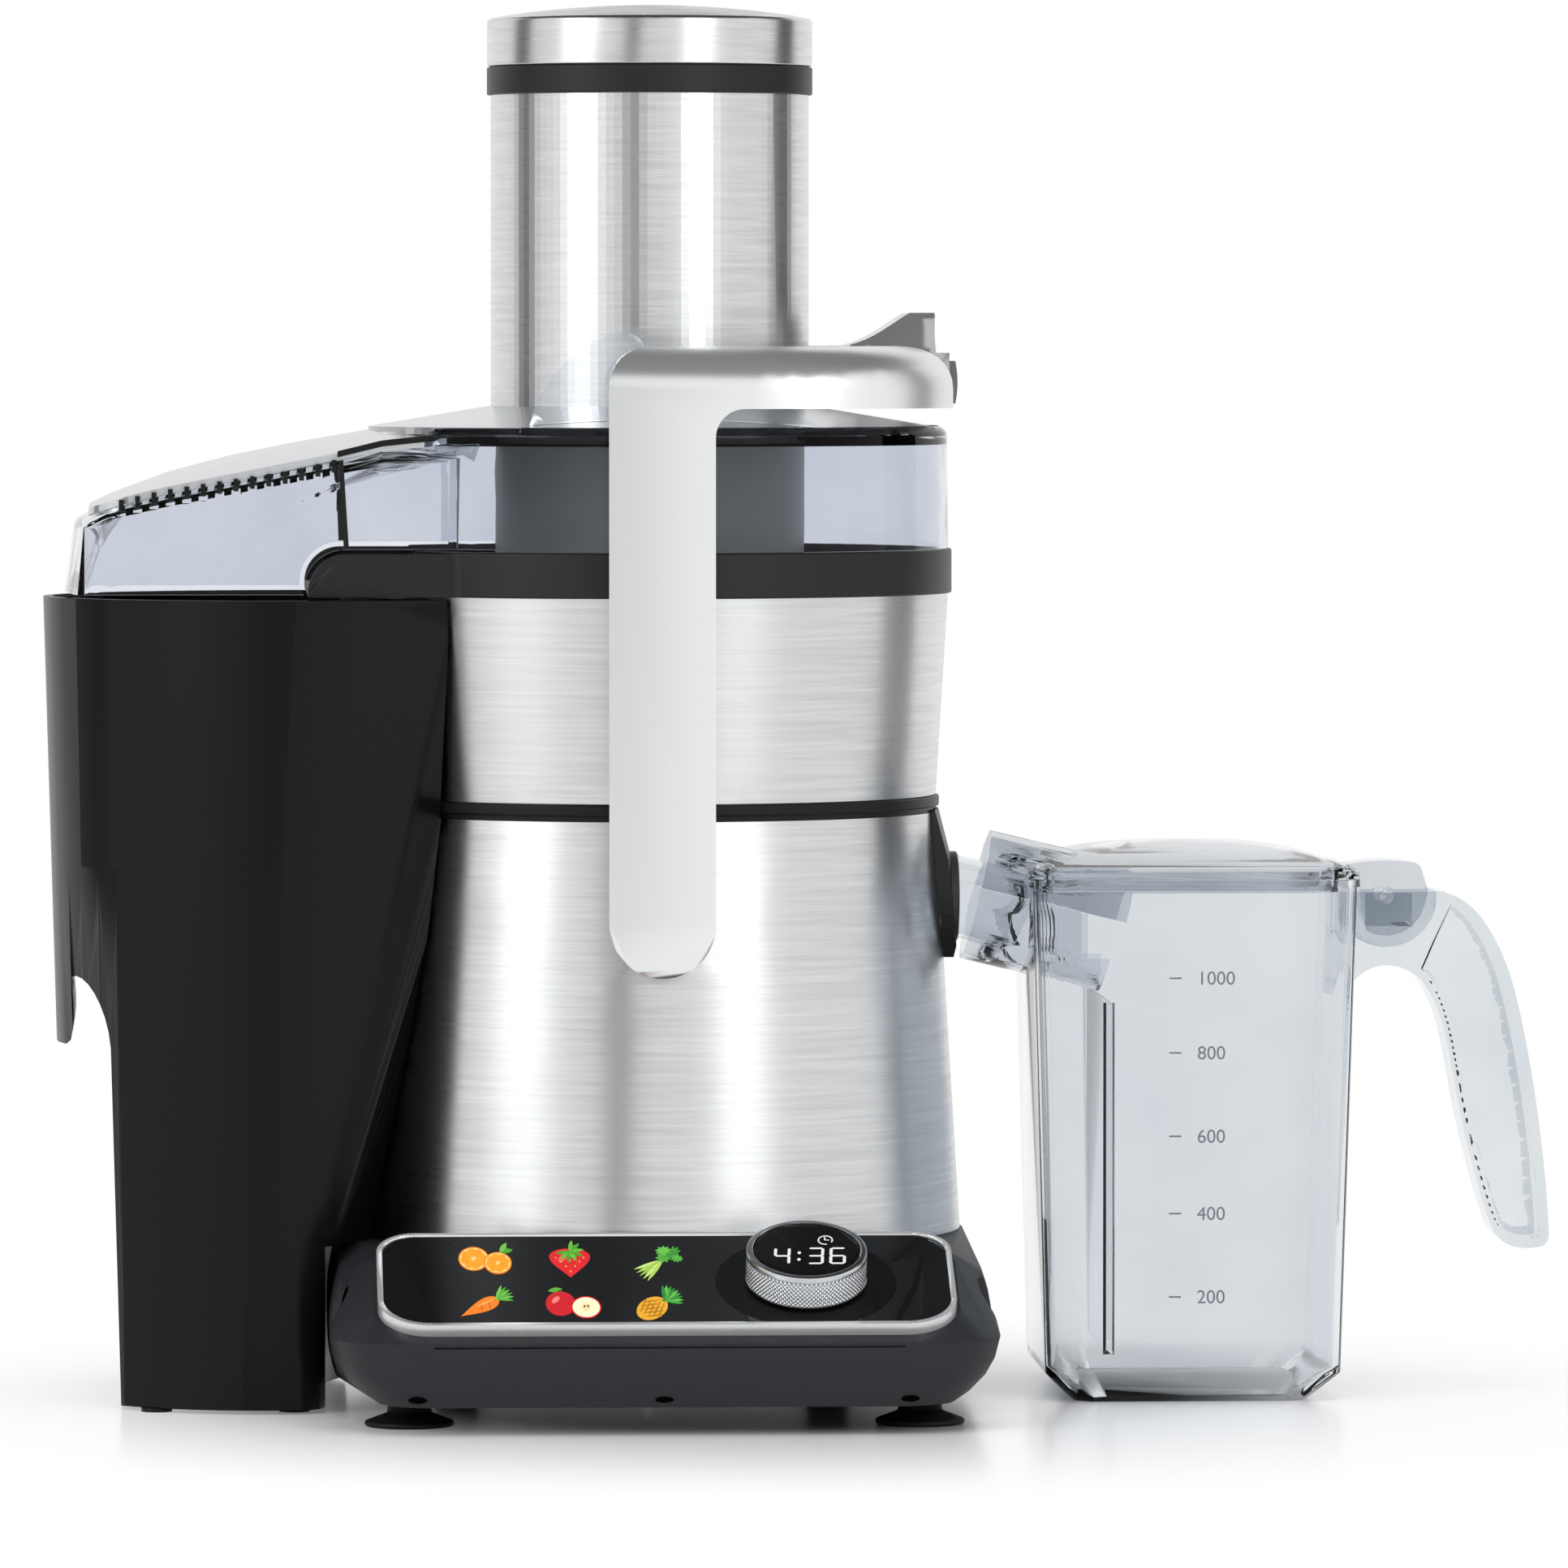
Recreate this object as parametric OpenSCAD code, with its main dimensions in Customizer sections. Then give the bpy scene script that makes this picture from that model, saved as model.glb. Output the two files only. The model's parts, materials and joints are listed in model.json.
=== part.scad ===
// Centrifugal juicer with a wide feed chute, a locking arm, a pulp bin and a juice jug.
// Lengths are millimetres. +X points to the spout and the jug, -Y to the person who uses it, +Z up.
// The origin is on the table, under the middle of the footprint.

/* [Placement] */
// How far the spindle stands left of the middle of the footprint
spindle_left = 43.6; // [30:0.1:60]
// How far the spindle stands behind the middle of the footprint
spindle_back = 25; // [10:0.1:40]

/* [Motor base] */
// Air gap between the table and the base
foot_gap = 8; // [7:0.1:12]
// Height of the black base, up to the steel housing
base_h = 40.5; // [38:0.1:46]
// Half of the base's greatest width
base_half_w = 96.1; // [94:0.1:104]
// Distance from the spindle to the front wall of the base
base_front = 144.5; // [142:0.1:156]
// Wall of the base and of the base plate
base_wall = 2.6; // [2:0.1:4]
// Radius of a suction cup
cup_r = 12.9; // [10:0.1:15]
// Radius of a foot stem
stem_r = 6.4; // [4:0.1:8]

/* [Motor housing] */
// Radius of the steel housing at its foot
housing_foot_r = 91.8; // [90:0.1:93]
// Radius of the steel housing at its top
housing_top_r = 84.4; // [82:0.1:88]
// Height of the steel housing
housing_h = 123.6; // [118:0.1:135]
// Thickness of the steel skins
steel_t = 1; // [0.6:0.1:1.4]
// Wall of the black plastic liner inside the steel
liner_wall = 2.4; // [1.8:0.1:3.5]
// Thickness of the motor deck
deck_t = 5.3; // [4:0.1:7]

/* [Juice bowl] */
// Height of the foot ring under the bowl
foot_ring_h = 3.3; // [2.4:0.1:5]
// Height of the bowl's steel wrap
bowl_h = 59.7; // [58:0.1:70]
// Radius of the steel wrap at its foot
bowl_foot_r = 84.6; // [83:0.1:87]
// Radius of the steel wrap at its top
bowl_top_r = 88.2; // [87:0.1:90]
// Wall of the bowl
bowl_wall = 2.2; // [1.6:0.1:3]
// Height of the black bowl ring
bowl_ring_h = 13.2; // [11:0.1:18]
// How far the pulp lip reaches left of the spindle
pulp_lip_x = 101.6; // [98:0.1:104]

/* [Spout] */
// Outer radius of the clear spout tube
spout_r = 12; // [10:0.1:12.2]
// Wall of the spout tube
spout_wall = 1.7; // [1.2:0.1:2.5]
// Fall of the spout below the horizontal, in degrees
spout_fall = 13.5; // [10:0.5:14]
// How far the spout axis lies below the top of the housing, at the collar
spout_drop = 25.6; // [25:0.1:28]
// How far the spout's collar stands out from the housing
collar_out = 5.2; // [5:0.1:7]
// How far the lower lip of the spout stands out from its collar
spout_out = 16.4; // [15.6:0.1:16.8]

/* [Filter basket] */
// Radius of the filter floor
filter_foot_r = 50; // [49:0.1:54]
// Radius of the filter's top edge
filter_top_r = 75; // [68:0.1:77]
// Height of the filter cone
filter_h = 49; // [46:0.1:50]
// Thickness of the filter sheet
filter_t = 0.7; // [0.5:0.1:1]

/* [Lid and chute] */
// Height of the clear lid
lid_h = 36; // [32:0.1:44]
// Radius of the clear lid
lid_r = 88.3; // [87.6:0.1:89]
// Wall of the clear lid and its pulp hood
lid_wall = 2.2; // [1.6:0.1:3]
// Half of the pulp hood's width
hood_half_w = 66; // [64:0.1:70]
// Rise of the lid cover from its rim to the chute
cover_rise = 6; // [4:0.1:9]
// Thickness of the lid cover
cover_t = 2.1; // [1.5:0.1:3]
// Radius of the steel chute sleeve
sleeve_r = 47; // [46:0.1:48]
// Height of the steel chute sleeve above the lid cover
sleeve_h = 91.6; // [70:0.1:120]
// Wall of the plastic feed chute
chute_wall = 2.4; // [1.8:0.1:3]
// Height of the black chute rim
rim_h = 8.2; // [6:0.1:12]
// Radius of the chute rim
rim_r = 48.1; // [48:0.1:50]
// Gap between the feed chute and the cutter disc
chute_gap = 3.5; // [2:0.1:6]

/* [Pusher] */
// Radius of the steel pusher cap
cap_r = 48; // [46:0.1:50]
// Height of the cap's straight side
cap_h = 14; // [10:0.1:20]
// Rise of the cap's dome
cap_dome = 4; // [2:0.1:6]
// Radial play between pusher and chute
pusher_play = 0.7; // [0.4:0.1:1.5]
// Length of the pusher below its cap
pusher_l = 178; // [120:1:185]

/* [Locking arm] */
// Width of the arm's flat legs
leg_w = 30.6; // [26:0.1:36]
// Thickness of the arm's legs
leg_t = 4.5; // [3.5:0.1:6]
// Gap between the housing and a leg, at the height of the pivot
leg_gap = 4.9; // [4.5:0.1:9]
// How far the pivot lies below the top of the housing
pivot_drop = 29.3; // [27:0.1:32]
// Height of the hoop over the lid
hoop_h = 18; // [16:0.1:24]
// Gap between the lid's rim and the hoop
hoop_gap = 5.6; // [5:0.1:10]
// Distance from the spindle to the outer end of the hoop
hoop_reach = 87.5; // [87:0.1:93]
// Gap between a leg and the bowl ring
leg_lid_gap = 1.6; // [1.2:0.1:4]
// Radius of the pivot pins
pivot_r = 4; // [3:0.1:6]

/* [Control desk] */
// Slope of the control desk in degrees
desk_tilt = 24.6; // [22:0.1:27]
// Width of the panel frame
panel_w = 165.5; // [150:0.1:170]
// Length of the panel frame along the slope
panel_l = 54; // [50:0.1:56]
// Radius of the panel frame's rear corners
panel_corner = 11; // [6:0.1:16]
// Radius of the panel frame's front corners
panel_front_corner = 15; // [6:0.1:20]
// Width of the frame's rim round the glass
frame_rim = 1.6; // [1:0.1:3]
// Distance from the spindle to the middle of the panel
panel_y = 117.5; // [117:0.1:120]
// Height of the middle of the panel above the foot of the base
panel_rise = 34.9; // [33.5:0.1:36]
// Distance of the knob from the middle of the panel, to the right
knob_x = 40; // [30:0.1:56]
// Distance of the knob from the middle of the panel, down the slope
knob_down = 2.2; // [0:0.1:4]
// Radius of the knob
knob_r = 17.4; // [14:0.1:19]
// Height of the knob above the glass
knob_h = 11; // [8:0.1:14]
// Travel of the round start button
start_travel = 0.8; // [0.5:0.1:1.5]

/* [Pulp bin] */
// Distance from the spindle to the bin's outer wall at the rim
bin_reach = 179.2; // [177:0.1:186]
// Half of the bin's width at the rim
bin_half_w = 74; // [72:0.1:78]
// Wall of the bin
bin_wall = 2.5; // [2:0.1:3.5]
// Height of the finger grip's roof
grip_z = 118; // [100:0.5:130]
// Height of the finger lip's lower edge
lip_z = 105.2; // [92:0.5:106]
// Gap between the bin and what stands next to it
bin_gap = 1; // [0.8:0.1:2]

/* [Juice jug] */
// Distance from the spout's collar to the jug's left wall
jug_gap = 19.5; // [19.2:0.1:20.9]
// Width of the jug at its rim
jug_w = 95.8; // [92:0.1:104]
// Half of the jug's depth at its rim
jug_half_d = 50; // [46:0.1:54]
// Wall of the jug
jug_wall = 2.2; // [1.6:0.1:3]
// Height of the jug's rim above the spout axis
jug_rim_rise = 11.4; // [10.5:0.1:14]
// Clearance round the spout inside the jug's inlet
inlet_play = 4.3; // [4.3:0.1:4.8]
// Width of the jug handle
handle_w = 20; // [16:0.1:26]

/* [Fits] */
// Gap between fixed pieces that lie side by side
fit = 0.2; // [0.1:0.05:0.4]
// Gap between pieces that move against each other
play = 0.4; // [0.3:0.05:0.8]

/* [Hidden] */
$fn = 96;
eps = 0.01;

// Heights, stacked from the table up
base_top = foot_gap + base_h;
housing_top = base_top + housing_h;
deck_top = housing_top + 1.7;
wrap_z = deck_top + foot_ring_h;
ring_z = wrap_z + bowl_h;
lid_z = ring_z + bowl_ring_h;
lid_top = lid_z + lid_h;
cover_top = lid_top + cover_rise;
sleeve_top = cover_top + sleeve_h;
rim_top = sleeve_top + rim_h;

// Housing and liner
function housing_r(z) = housing_foot_r + (housing_top_r - housing_foot_r) * (z - base_top) / housing_h;
function wrap_r(z) = bowl_foot_r + (bowl_top_r - bowl_foot_r) * (z - wrap_z) / bowl_h;
liner_gap = 0.1;
liner_in = housing_top_r - steel_t - liner_gap - liner_wall;

// Filter and drive
hub_z = wrap_z + 11;
disc_t = 2.5;
filter_z = hub_z + 3;
disc_top = filter_z + disc_t;
filter_top_z = filter_z + filter_h;
rim_rad = 4.5;
shaft_r = 4;
shaft_foot = base_top + 3.5;

// Lid cover and chute
cover_r = lid_r - 5;
trim_w = 2.1;
chute_out = sleeve_r - steel_t - 0.3;
chute_in = chute_out - chute_wall;
pusher_r = chute_in - pusher_play;
cap_z = rim_top + 0.35;

// Locking arm
pivot_z = housing_top - pivot_drop;
leg_in = max(housing_r(pivot_z) + leg_gap, lid_r + 1 + leg_lid_gap);
leg_out = leg_in + leg_t;
hoop_z = lid_top + hoop_gap;
hoop_top = hoop_z + hoop_h;
arm_corner = 12;
arm_fillet = 8.4;
hoop_lip = 21.5;
hoop_bend = 60.5;
bend_x = hoop_reach - hoop_bend;
bend_y = leg_out - hoop_bend;
button_w = 16;
button_h = 12.6;
button_z = hoop_z + 1 + button_h / 2;
button_out = 2.6;

// Spout and jug inlet
spout_z = housing_top - spout_drop;
collar_x = housing_r(spout_z) + collar_out;
spout_reach = collar_x + spout_out;
jug_left = collar_x + jug_gap;
cup_x = 67;
inlet_r = spout_r + inlet_play;
function spout_axis(x) = spout_z - (x - collar_x) * tan(spout_fall);
jug_top = spout_axis(jug_left) + jug_rim_rise;
jug_right = jug_left + jug_w;

// Control desk
desk_z = foot_gap + panel_rise;
frame_h = 3.7;
glass_t = 2;
glass_top = -0.3;

// ---------------------------------------------------------------- shared shapes

// Points along a circular arc
function arc(c, r, a0, a1, n = 8) =
    [for (i = [0:n]) c + r * [cos(a0 + (a1 - a0) * i / n), sin(a0 + (a1 - a0) * i / n)]];

// Points along a cubic Bezier curve
function bezier(p, n = 8) =
    [for (i = [0:n]) let (t = i / n, u = 1 - t)
        u * u * u * p[0] + 3 * u * u * t * p[1] + 3 * u * t * t * p[2] + t * t * t * p[3]];

// Puts a piece that is drawn round the spindle in its place
module at_spindle() translate([-spindle_left, spindle_back, 0]) children();

// Puts a piece on the control desk: its z = 0 is the top of the panel frame
module on_desk() at_spindle() translate([0, -panel_y, desk_z]) rotate([desk_tilt, 0, 0]) children();

// A round tube
module tube(r_out, r_in, h) difference() {
    cylinder(r = r_out, h = h);
    translate([0, 0, -1]) cylinder(r = r_in, h = h + 2);
}

// A rounded rectangle, centred
module round_rect(w, l, r) {
    square([w - 2 * r, l], center = true);
    square([w, l - 2 * r], center = true);
    for (sx = [-1, 1], sy = [-1, 1])
        translate([sx * (w / 2 - r), sy * (l / 2 - r)]) circle(r = r);
}

// Draws a shape twice, once mirrored to the back
module both_sides() {
    children();
    mirror([0, 1, 0]) children();
}

// Extrudes a shape drawn in the XZ plane from y0 to y1
module slab_y(y0, y1) translate([0, y1, 0]) rotate([90, 0, 0]) linear_extrude(y1 - y0) children();

// ---------------------------------------------------------------- motor base

// Plan of the base: round at the back, square with round corners at the front
module base_plan(w, front, corner) {
    circle(r = w);
    translate([-w, corner - front]) square([2 * w, front - corner]);
    translate([corner - w, -front]) square([2 * (w - corner), front]);
    for (s = [-1, 1]) translate([s * (w - corner), corner - front]) circle(r = corner);
}

// One level of the base: half width at the back and at the front, and reach to the front
module base_slice(z, back, w, front, corner) translate([0, 0, z]) linear_extrude(0.2) intersection() {
    union() {
        circle(r = back);
        translate([0, -30]) circle(r = back);
        for (s = [-1, 1]) translate([s * (w - corner), corner - front]) circle(r = corner);
    }
    translate([-2 * w, -front]) square([4 * w, front + 2 * back]);
}

// Barrel-shaped body, drawn in by inset
module base_form(inset) {
    w = base_half_w - inset;
    front = base_front - inset;
    hull($fn = 64) {
        base_slice(foot_gap, w - 2.4, w - 13.8, front - 2.6, 18);
        base_slice(foot_gap + 3, w - 1.4, w - 9.2, front - 1.4, 21);
        base_slice(foot_gap + 7.5, w - 0.5, w - 4.5, front - 0.5, 24);
        base_slice(foot_gap + 12, w - 0.3, w - 1.7, front - 0.1, 27);
        base_slice(foot_gap + 18, w - 0.2, w, front, 29);
        base_slice(foot_gap + 27, w - 0.4, w - 1.4, front - 20, 29);
        base_slice(foot_gap + 34, w - 1.6, w - 3, front - 36, 29);
        translate([0, 0, base_top - 2 - inset]) cylinder(r = housing_foot_r + 0.8 - inset, h = 2);
        intersection() {
            translate([0, -panel_y, desk_z]) rotate([desk_tilt, 0, 0]) translate([0, 0, -frame_h - inset - 0.5])
                linear_extrude(0.5) panel_outline(inset - 1.2);
            translate([-200, -250, 0]) cube([400, 250, base_top - inset - 0.1]);
        }
    }
}

foot_spots = [[73.4, -109], [-73.4, -109], [56, 62], [-56, 62]];
screw_spots = [[70, -136.4], [0, -136.4], [-70, -136.4]];
gland_z = foot_gap + 14;

module base_shell() color("#2b2c2e") at_spindle() difference() {
    base_form(0);
    difference() {
        base_form(base_wall);
        for (p = foot_spots) translate([p[0], p[1], 0]) cylinder(r = stem_r + 2.4, h = base_top);
    }
    // opening in the underside for the base plate
    translate([0, 0, foot_gap - 1]) linear_extrude(base_wall + 1) base_plan(base_half_w - 18, base_front - 10, 18);
    // air and wiring opening under the motor
    translate([0, 0, base_top - 8]) cylinder(r = 60, h = 20);
    // window under the glass
    translate([0, -panel_y, desk_z]) rotate([desk_tilt, 0, 0]) translate([0, 0, -12])
        linear_extrude(24) round_rect(panel_w - 20, panel_l - 18, 5);
    // sockets of the foot stems
    for (p = foot_spots) translate([p[0], p[1], 0]) cylinder(r = stem_r + 0.05, h = foot_gap + 8);
    // finger hollows in both sides
    for (s = [-1, 1]) translate([s * (base_half_w + 10), -96, foot_gap + 6]) rotate([0, -s * 6, 0]) {
        cylinder(r = 16, h = 18);
        translate([0, 0, 18]) sphere(r = 16);
    }
    // joint line across the front
    translate([-67, -base_front - 1, foot_gap + 17]) cube([134, 1.6, 0.5]);
    // screw holes in the front edge
    for (p = screw_spots) translate([p[0], p[1], 0]) cylinder(r = 2.4, h = foot_gap + 9);
    // cord gland hole in the back
    translate([0, base_half_w - 14, gland_z]) rotate([-90, 0, 0]) cylinder(r = 8.1, h = 30);
}

module base_plate() color("#1f2022") at_spindle() difference() {
    translate([0, 0, foot_gap]) linear_extrude(base_wall)
        base_plan(base_half_w - 18 - fit, base_front - 10 - fit, 18 - fit);
    for (p = foot_spots) translate([p[0], p[1], 0]) cylinder(r = stem_r + 2.4 + fit, h = base_top);
    // air slots
    for (i = [-4:4]) translate([i * 9 - 2, -22, 0]) cube([4, 44, base_top]);
    for (p = plate_screws) translate([p[0], p[1], 0]) cylinder(r = 1.7, h = base_top);
}

plate_screws = [[50, -100], [-50, -100], [66, 20], [-66, 20]];

module base_screws() color("silver") at_spindle() {
    // three in the front edge of the shell, four in the plate
    for (p = screw_spots) translate([p[0], p[1], foot_gap + 4]) cylinder(r = 2.3, h = 4.6);
    for (p = plate_screws) translate([p[0], p[1], 0]) {
        translate([0, 0, foot_gap - 1.8]) cylinder(r = 3, h = 1.8);
        translate([0, 0, foot_gap - eps]) cylinder(r = 1.6, h = 8);
    }
}

module foot_stems() color("#232426") at_spindle()
    for (p = foot_spots) translate([p[0], p[1], 0]) {
        translate([0, 0, 4.2]) cylinder(r = stem_r, h = foot_gap + 2.4);
        translate([0, 0, 2.6]) cylinder(r = 3, h = 1.7);
    }

// Disc with a hollow underside and a flat ring that meets the table
module suction_cups() color("#18191a") at_spindle()
    for (p = foot_spots) translate([p[0], p[1], 0]) difference() {
        rotate_extrude() polygon(concat(
            [[0, 1.6], [cup_r - 3.4, 0.9], [cup_r - 2.6, 0], [cup_r - 1, 0]],
            arc([cup_r - 0.9, 0.9], 0.9, -90, 80, 6),
            [[stem_r + 0.6, 4.2 - 0.5], [stem_r, 4.2], [0, 4.2]]));
        translate([0, 0, 2.6]) cylinder(r = 3.02, h = 3);
    }

module cord_gland() color("#1a1b1c") at_spindle() translate([0, 0, gland_z]) rotate([-90, 0, 0]) {
    translate([0, 0, base_half_w - 8]) tube(8, 3.6, 7.6);
    translate([0, 0, base_half_w - 0.4]) tube(10, 3.6, 2);
    translate([0, 0, base_half_w - 8.6]) tube(10, 3.6, 2);
}

// ---------------------------------------------------------------- control desk

// Outline of the panel, drawn in by inset
module panel_outline(inset) {
    rear = panel_corner - inset;
    front = panel_front_corner - inset;
    w = panel_w / 2 - inset;
    l = panel_l / 2 - inset;
    translate([-w, front - l]) square([2 * w, 2 * l - front - rear]);
    translate([rear - w, l - rear]) square([2 * (w - rear), rear]);
    translate([front - w, -l]) square([2 * (w - front), front]);
    for (s = [-1, 1]) {
        translate([s * (w - rear), l - rear]) circle(r = rear);
        translate([s * (w - front), front - l]) circle(r = front);
    }
}

module panel_frame() color("#d5d7da") difference() {
    on_desk() difference() {
        translate([0, 0, -frame_h]) linear_extrude(frame_h) panel_outline(0);
        translate([0, 0, -glass_t + glass_top - fit]) linear_extrude(frame_h) panel_outline(frame_rim);
        translate([0, 0, -frame_h - 1]) linear_extrude(frame_h)
            round_rect(panel_w - 20, panel_l - 18, 5);
    }
    at_spindle() cylinder(r = housing_foot_r + fit, h = housing_top);
}

module panel_glass() color("#17181a") on_desk() difference() {
    translate([0, 0, glass_top - glass_t]) linear_extrude(glass_t) panel_outline(frame_rim + 0.05);
    translate([knob_x, -knob_down, -10]) cylinder(r = knob_r - 7, h = 20);
}

module control_board() color("#1d5a34") on_desk() difference() {
    translate([0, 0, -11.4]) linear_extrude(1.6) round_rect(panel_w - 30, panel_l - 24, 3);
    translate([knob_x, -knob_down, -20]) cylinder(r = 5, h = 20);
    // screw holes
    for (sx = [-1, 1], sy = [-1, 1]) translate([sx * (panel_w / 2 - 20), sy * (panel_l / 2 - 16), -20])
        cylinder(r = 1.6, h = 20);
}

// Ring-shaped rotary encoder: a flange on the board and a sleeve through the glass
module rotary_encoder() color("#3a3b3e") on_desk() translate([knob_x, -knob_down, 0]) difference() {
    union() {
        translate([0, 0, -9.7]) cylinder(r = 13, h = 4.4);
        translate([0, 0, -5.4]) cylinder(r = knob_r - 7 - fit, h = 8);
    }
    translate([0, 0, -20]) cylinder(r = 4.6, h = 40);
}

knob_foot = glass_top + 0.45;
knob_top = glass_top + knob_h;

module knob_ring() color("#9a9c9e") on_desk() translate([knob_x, -knob_down, 0]) difference() {
    union() {
        rotate_extrude() polygon(concat([[0, knob_foot], [knob_r - 0.6, knob_foot]],
            arc([knob_r - 0.6, knob_foot + 0.6], 0.6, -90, 0, 4),
            [[knob_r, knob_foot + 0.9], [knob_r - 0.25, knob_foot + 1.1],
             [knob_r - 0.25, knob_top - 1.9], [knob_r, knob_top - 1.7]],
            arc([knob_r - 0.5, knob_top - 0.5], 0.5, 0, 90, 4),
            [[0, knob_top]]));
        // knurled side, one rib each 7.5 degrees
        for (i = [0:47]) rotate([0, 0, i * 7.5]) translate([knob_r - 0.5, 0, knob_foot + 1.2])
            cylinder(r = 0.5, h = knob_h - 3.8, $fn = 4);
    }
    // seat of the display
    translate([0, 0, knob_foot + 3]) cylinder(r = knob_r - 2, h = knob_h);
    // bore that runs on the encoder's sleeve
    translate([0, 0, -2]) cylinder(r = knob_r - 7 - fit + play, h = 20);
}

// Round display on a stem that passes through the encoder
module start_button() color("#0e0f10") on_desk() translate([knob_x, -knob_down, 0]) {
    translate([0, 0, knob_top - 2.6]) cylinder(r = knob_r - 2 - play, h = 2.3);
    translate([0, 0, -9.8]) cylinder(r = 4.6 - play, h = knob_top - 2.6 + 9.8 + eps);
}

// ---------------------------------------------------------------- motor housing

// A shape drawn on the front and the back, at the height of the arm's pivot
module at_pivots() for (a = [0, 180]) rotate([0, 0, a]) translate([0, 0, pivot_z]) rotate([90, 0, 0]) children();

// The line of the spout: x = 0 of the children lies on the collar's outer face
module on_spout() translate([collar_x, 0, spout_z]) rotate([0, 90 + spout_fall, 0]) children();

boss_r = 11;

module housing_shell() color("#c4c6c8") at_spindle() difference() {
    rotate_extrude() polygon([
        [housing_foot_r - steel_t, base_top], [housing_foot_r - 0.3, base_top], [housing_foot_r, base_top + 0.4],
        [housing_top_r, housing_top], [housing_top_r - steel_t, housing_top]]);
    at_pivots() cylinder(r = boss_r + fit, h = 200);
    on_spout() translate([0, 0, -20]) cylinder(r = spout_r + 0.8, h = 40);
}

module housing_liner() color("#222325") at_spindle() difference() {
    out = steel_t + liner_gap;
    rotate_extrude() polygon([
        [housing_foot_r - out - liner_wall, base_top], [housing_foot_r - out, base_top],
        [housing_top_r - out, housing_top], [housing_top_r - out - liner_wall, housing_top]]);
    at_pivots() cylinder(r = pivot_r + fit, h = 200);
    on_spout() translate([0, 0, -20]) cylinder(r = spout_r + 0.8, h = 40);
}

mount_r = 48;

module motor_deck() color("#222325") at_spindle() difference() {
    union() {
        translate([0, 0, deck_top - deck_t]) cylinder(r = liner_in - fit, h = deck_t);
        translate([0, 0, housing_top + eps]) cylinder(r = housing_top_r - 0.2, h = deck_top - housing_top - eps);
        for (a = [45:90:315]) rotate([0, 0, a]) translate([mount_r, 0, deck_top - deck_t - 12])
            cylinder(r = 8, h = 12 + eps);
    }
    // shaft seal seat, and the way of the drain nozzle
    translate([0, 0, 0]) cylinder(r = seal_r, h = 300);
    translate([cup_x, 0, 0]) cylinder(r = 12.6, h = 300);
    for (a = [45:90:315]) rotate([0, 0, a]) translate([mount_r, 0, deck_top - deck_t - 13]) cylinder(r = 2, h = 10);
}

seal_r = 13;

// Shield-shaped plate that hugs the housing round the spout
module spout_escutcheon() color("#2a2b2c") at_spindle() difference() {
    intersection() {
        translate([50, 0, 0]) rotate([90, 0, 90]) linear_extrude(60) polygon(concat(
            [[-19, housing_top + 0.8], [-18.6, housing_top - 8]],
            bezier([[-18.6, housing_top - 8], [-17.6, housing_top - 26], [-12, housing_top - 37],
                [-4, housing_top - 43.5]]),
            bezier([[4, housing_top - 43.5], [12, housing_top - 37], [17.6, housing_top - 26],
                [18.6, housing_top - 8]]),
            [[19, housing_top + 0.8]]));
        rotate_extrude() polygon([
            [0, base_top], [housing_r(housing_top - 46) + 2.2, housing_top - 46],
            [housing_r(housing_top - 40) + 4, housing_top - 40], [housing_r(housing_top - 14) + 4, housing_top - 14],
            [housing_r(housing_top) + 1, housing_top + 1], [0, housing_top + 1]]);
    }
    translate([0, 0, base_top])
        cylinder(r1 = housing_foot_r + 0.05, r2 = housing_top_r + 0.05, h = housing_h);
    translate([0, 0, housing_top - eps]) cylinder(r = housing_top_r + 0.05, h = 10);
    translate([0, 0, spout_z]) rotate([0, 90, 0]) cylinder(r = collar_r + 0.05, h = 200);
}

collar_r = spout_r + 1.4;
collar_l = 4;

// Short ring that holds the tube in the plate
module spout_collar() color("#33342f") at_spindle() difference() {
    translate([collar_x - collar_l, 0, spout_z]) rotate([0, 90, 0]) rotate_extrude() polygon(concat(
        [[0, 0], [collar_r, 0]], arc([collar_r - 0.8, collar_l - 0.8], 0.8, 0, 90, 4), [[0, collar_l]]));
    on_spout() translate([0, 0, -20]) cylinder(r = spout_r + 0.1, h = 40);
}

cup_top = deck_top - deck_t - 2.5;
cup_foot = spout_axis(cup_x) - spout_r - 2;
cup_r_out = 13.4;
cup_r_in = 11.8;
tube_tail = (collar_x - cup_x) / cos(spout_fall);
tube_nose = (spout_reach - collar_x) / cos(spout_fall) + 14;

// Clear tube with a catch cup under the bowl's drain; its tip is cut so that it opens downward
module spout_tube() color("#dfe6ec", 0.5) at_spindle() difference() {
    union() {
        on_spout() translate([0, 0, -tube_tail]) cylinder(r = spout_r, h = tube_tail + tube_nose);
        translate([cup_x, 0, cup_foot]) cylinder(r = cup_r_out, h = cup_top - cup_foot);
    }
    on_spout() translate([0, 0, -tube_tail]) cylinder(r = spout_r - spout_wall, h = tube_tail + tube_nose + 1);
    translate([cup_x, 0, cup_foot + 2]) cylinder(r = cup_r_in, h = 60);
    // slanted tip
    translate([spout_reach, 0, spout_axis(spout_reach) - spout_r]) rotate([0, 24, 0])
        translate([0, -30, -40]) cube([60, 60, 90]);
}

module pivot_bosses() color("#2a2b2c") at_spindle() difference() {
    at_pivots() translate([0, 0, housing_r(pivot_z) - 3]) cylinder(r = boss_r, h = leg_gap + 3 - play);
    // the inner ends follow the liner
    translate([0, 0, base_top - 1])
        cylinder(r1 = housing_foot_r - steel_t + 0.06, r2 = housing_top_r - steel_t, h = housing_h + 1);
    at_pivots() cylinder(r = pivot_r + 0.05, h = 200);
}

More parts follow.
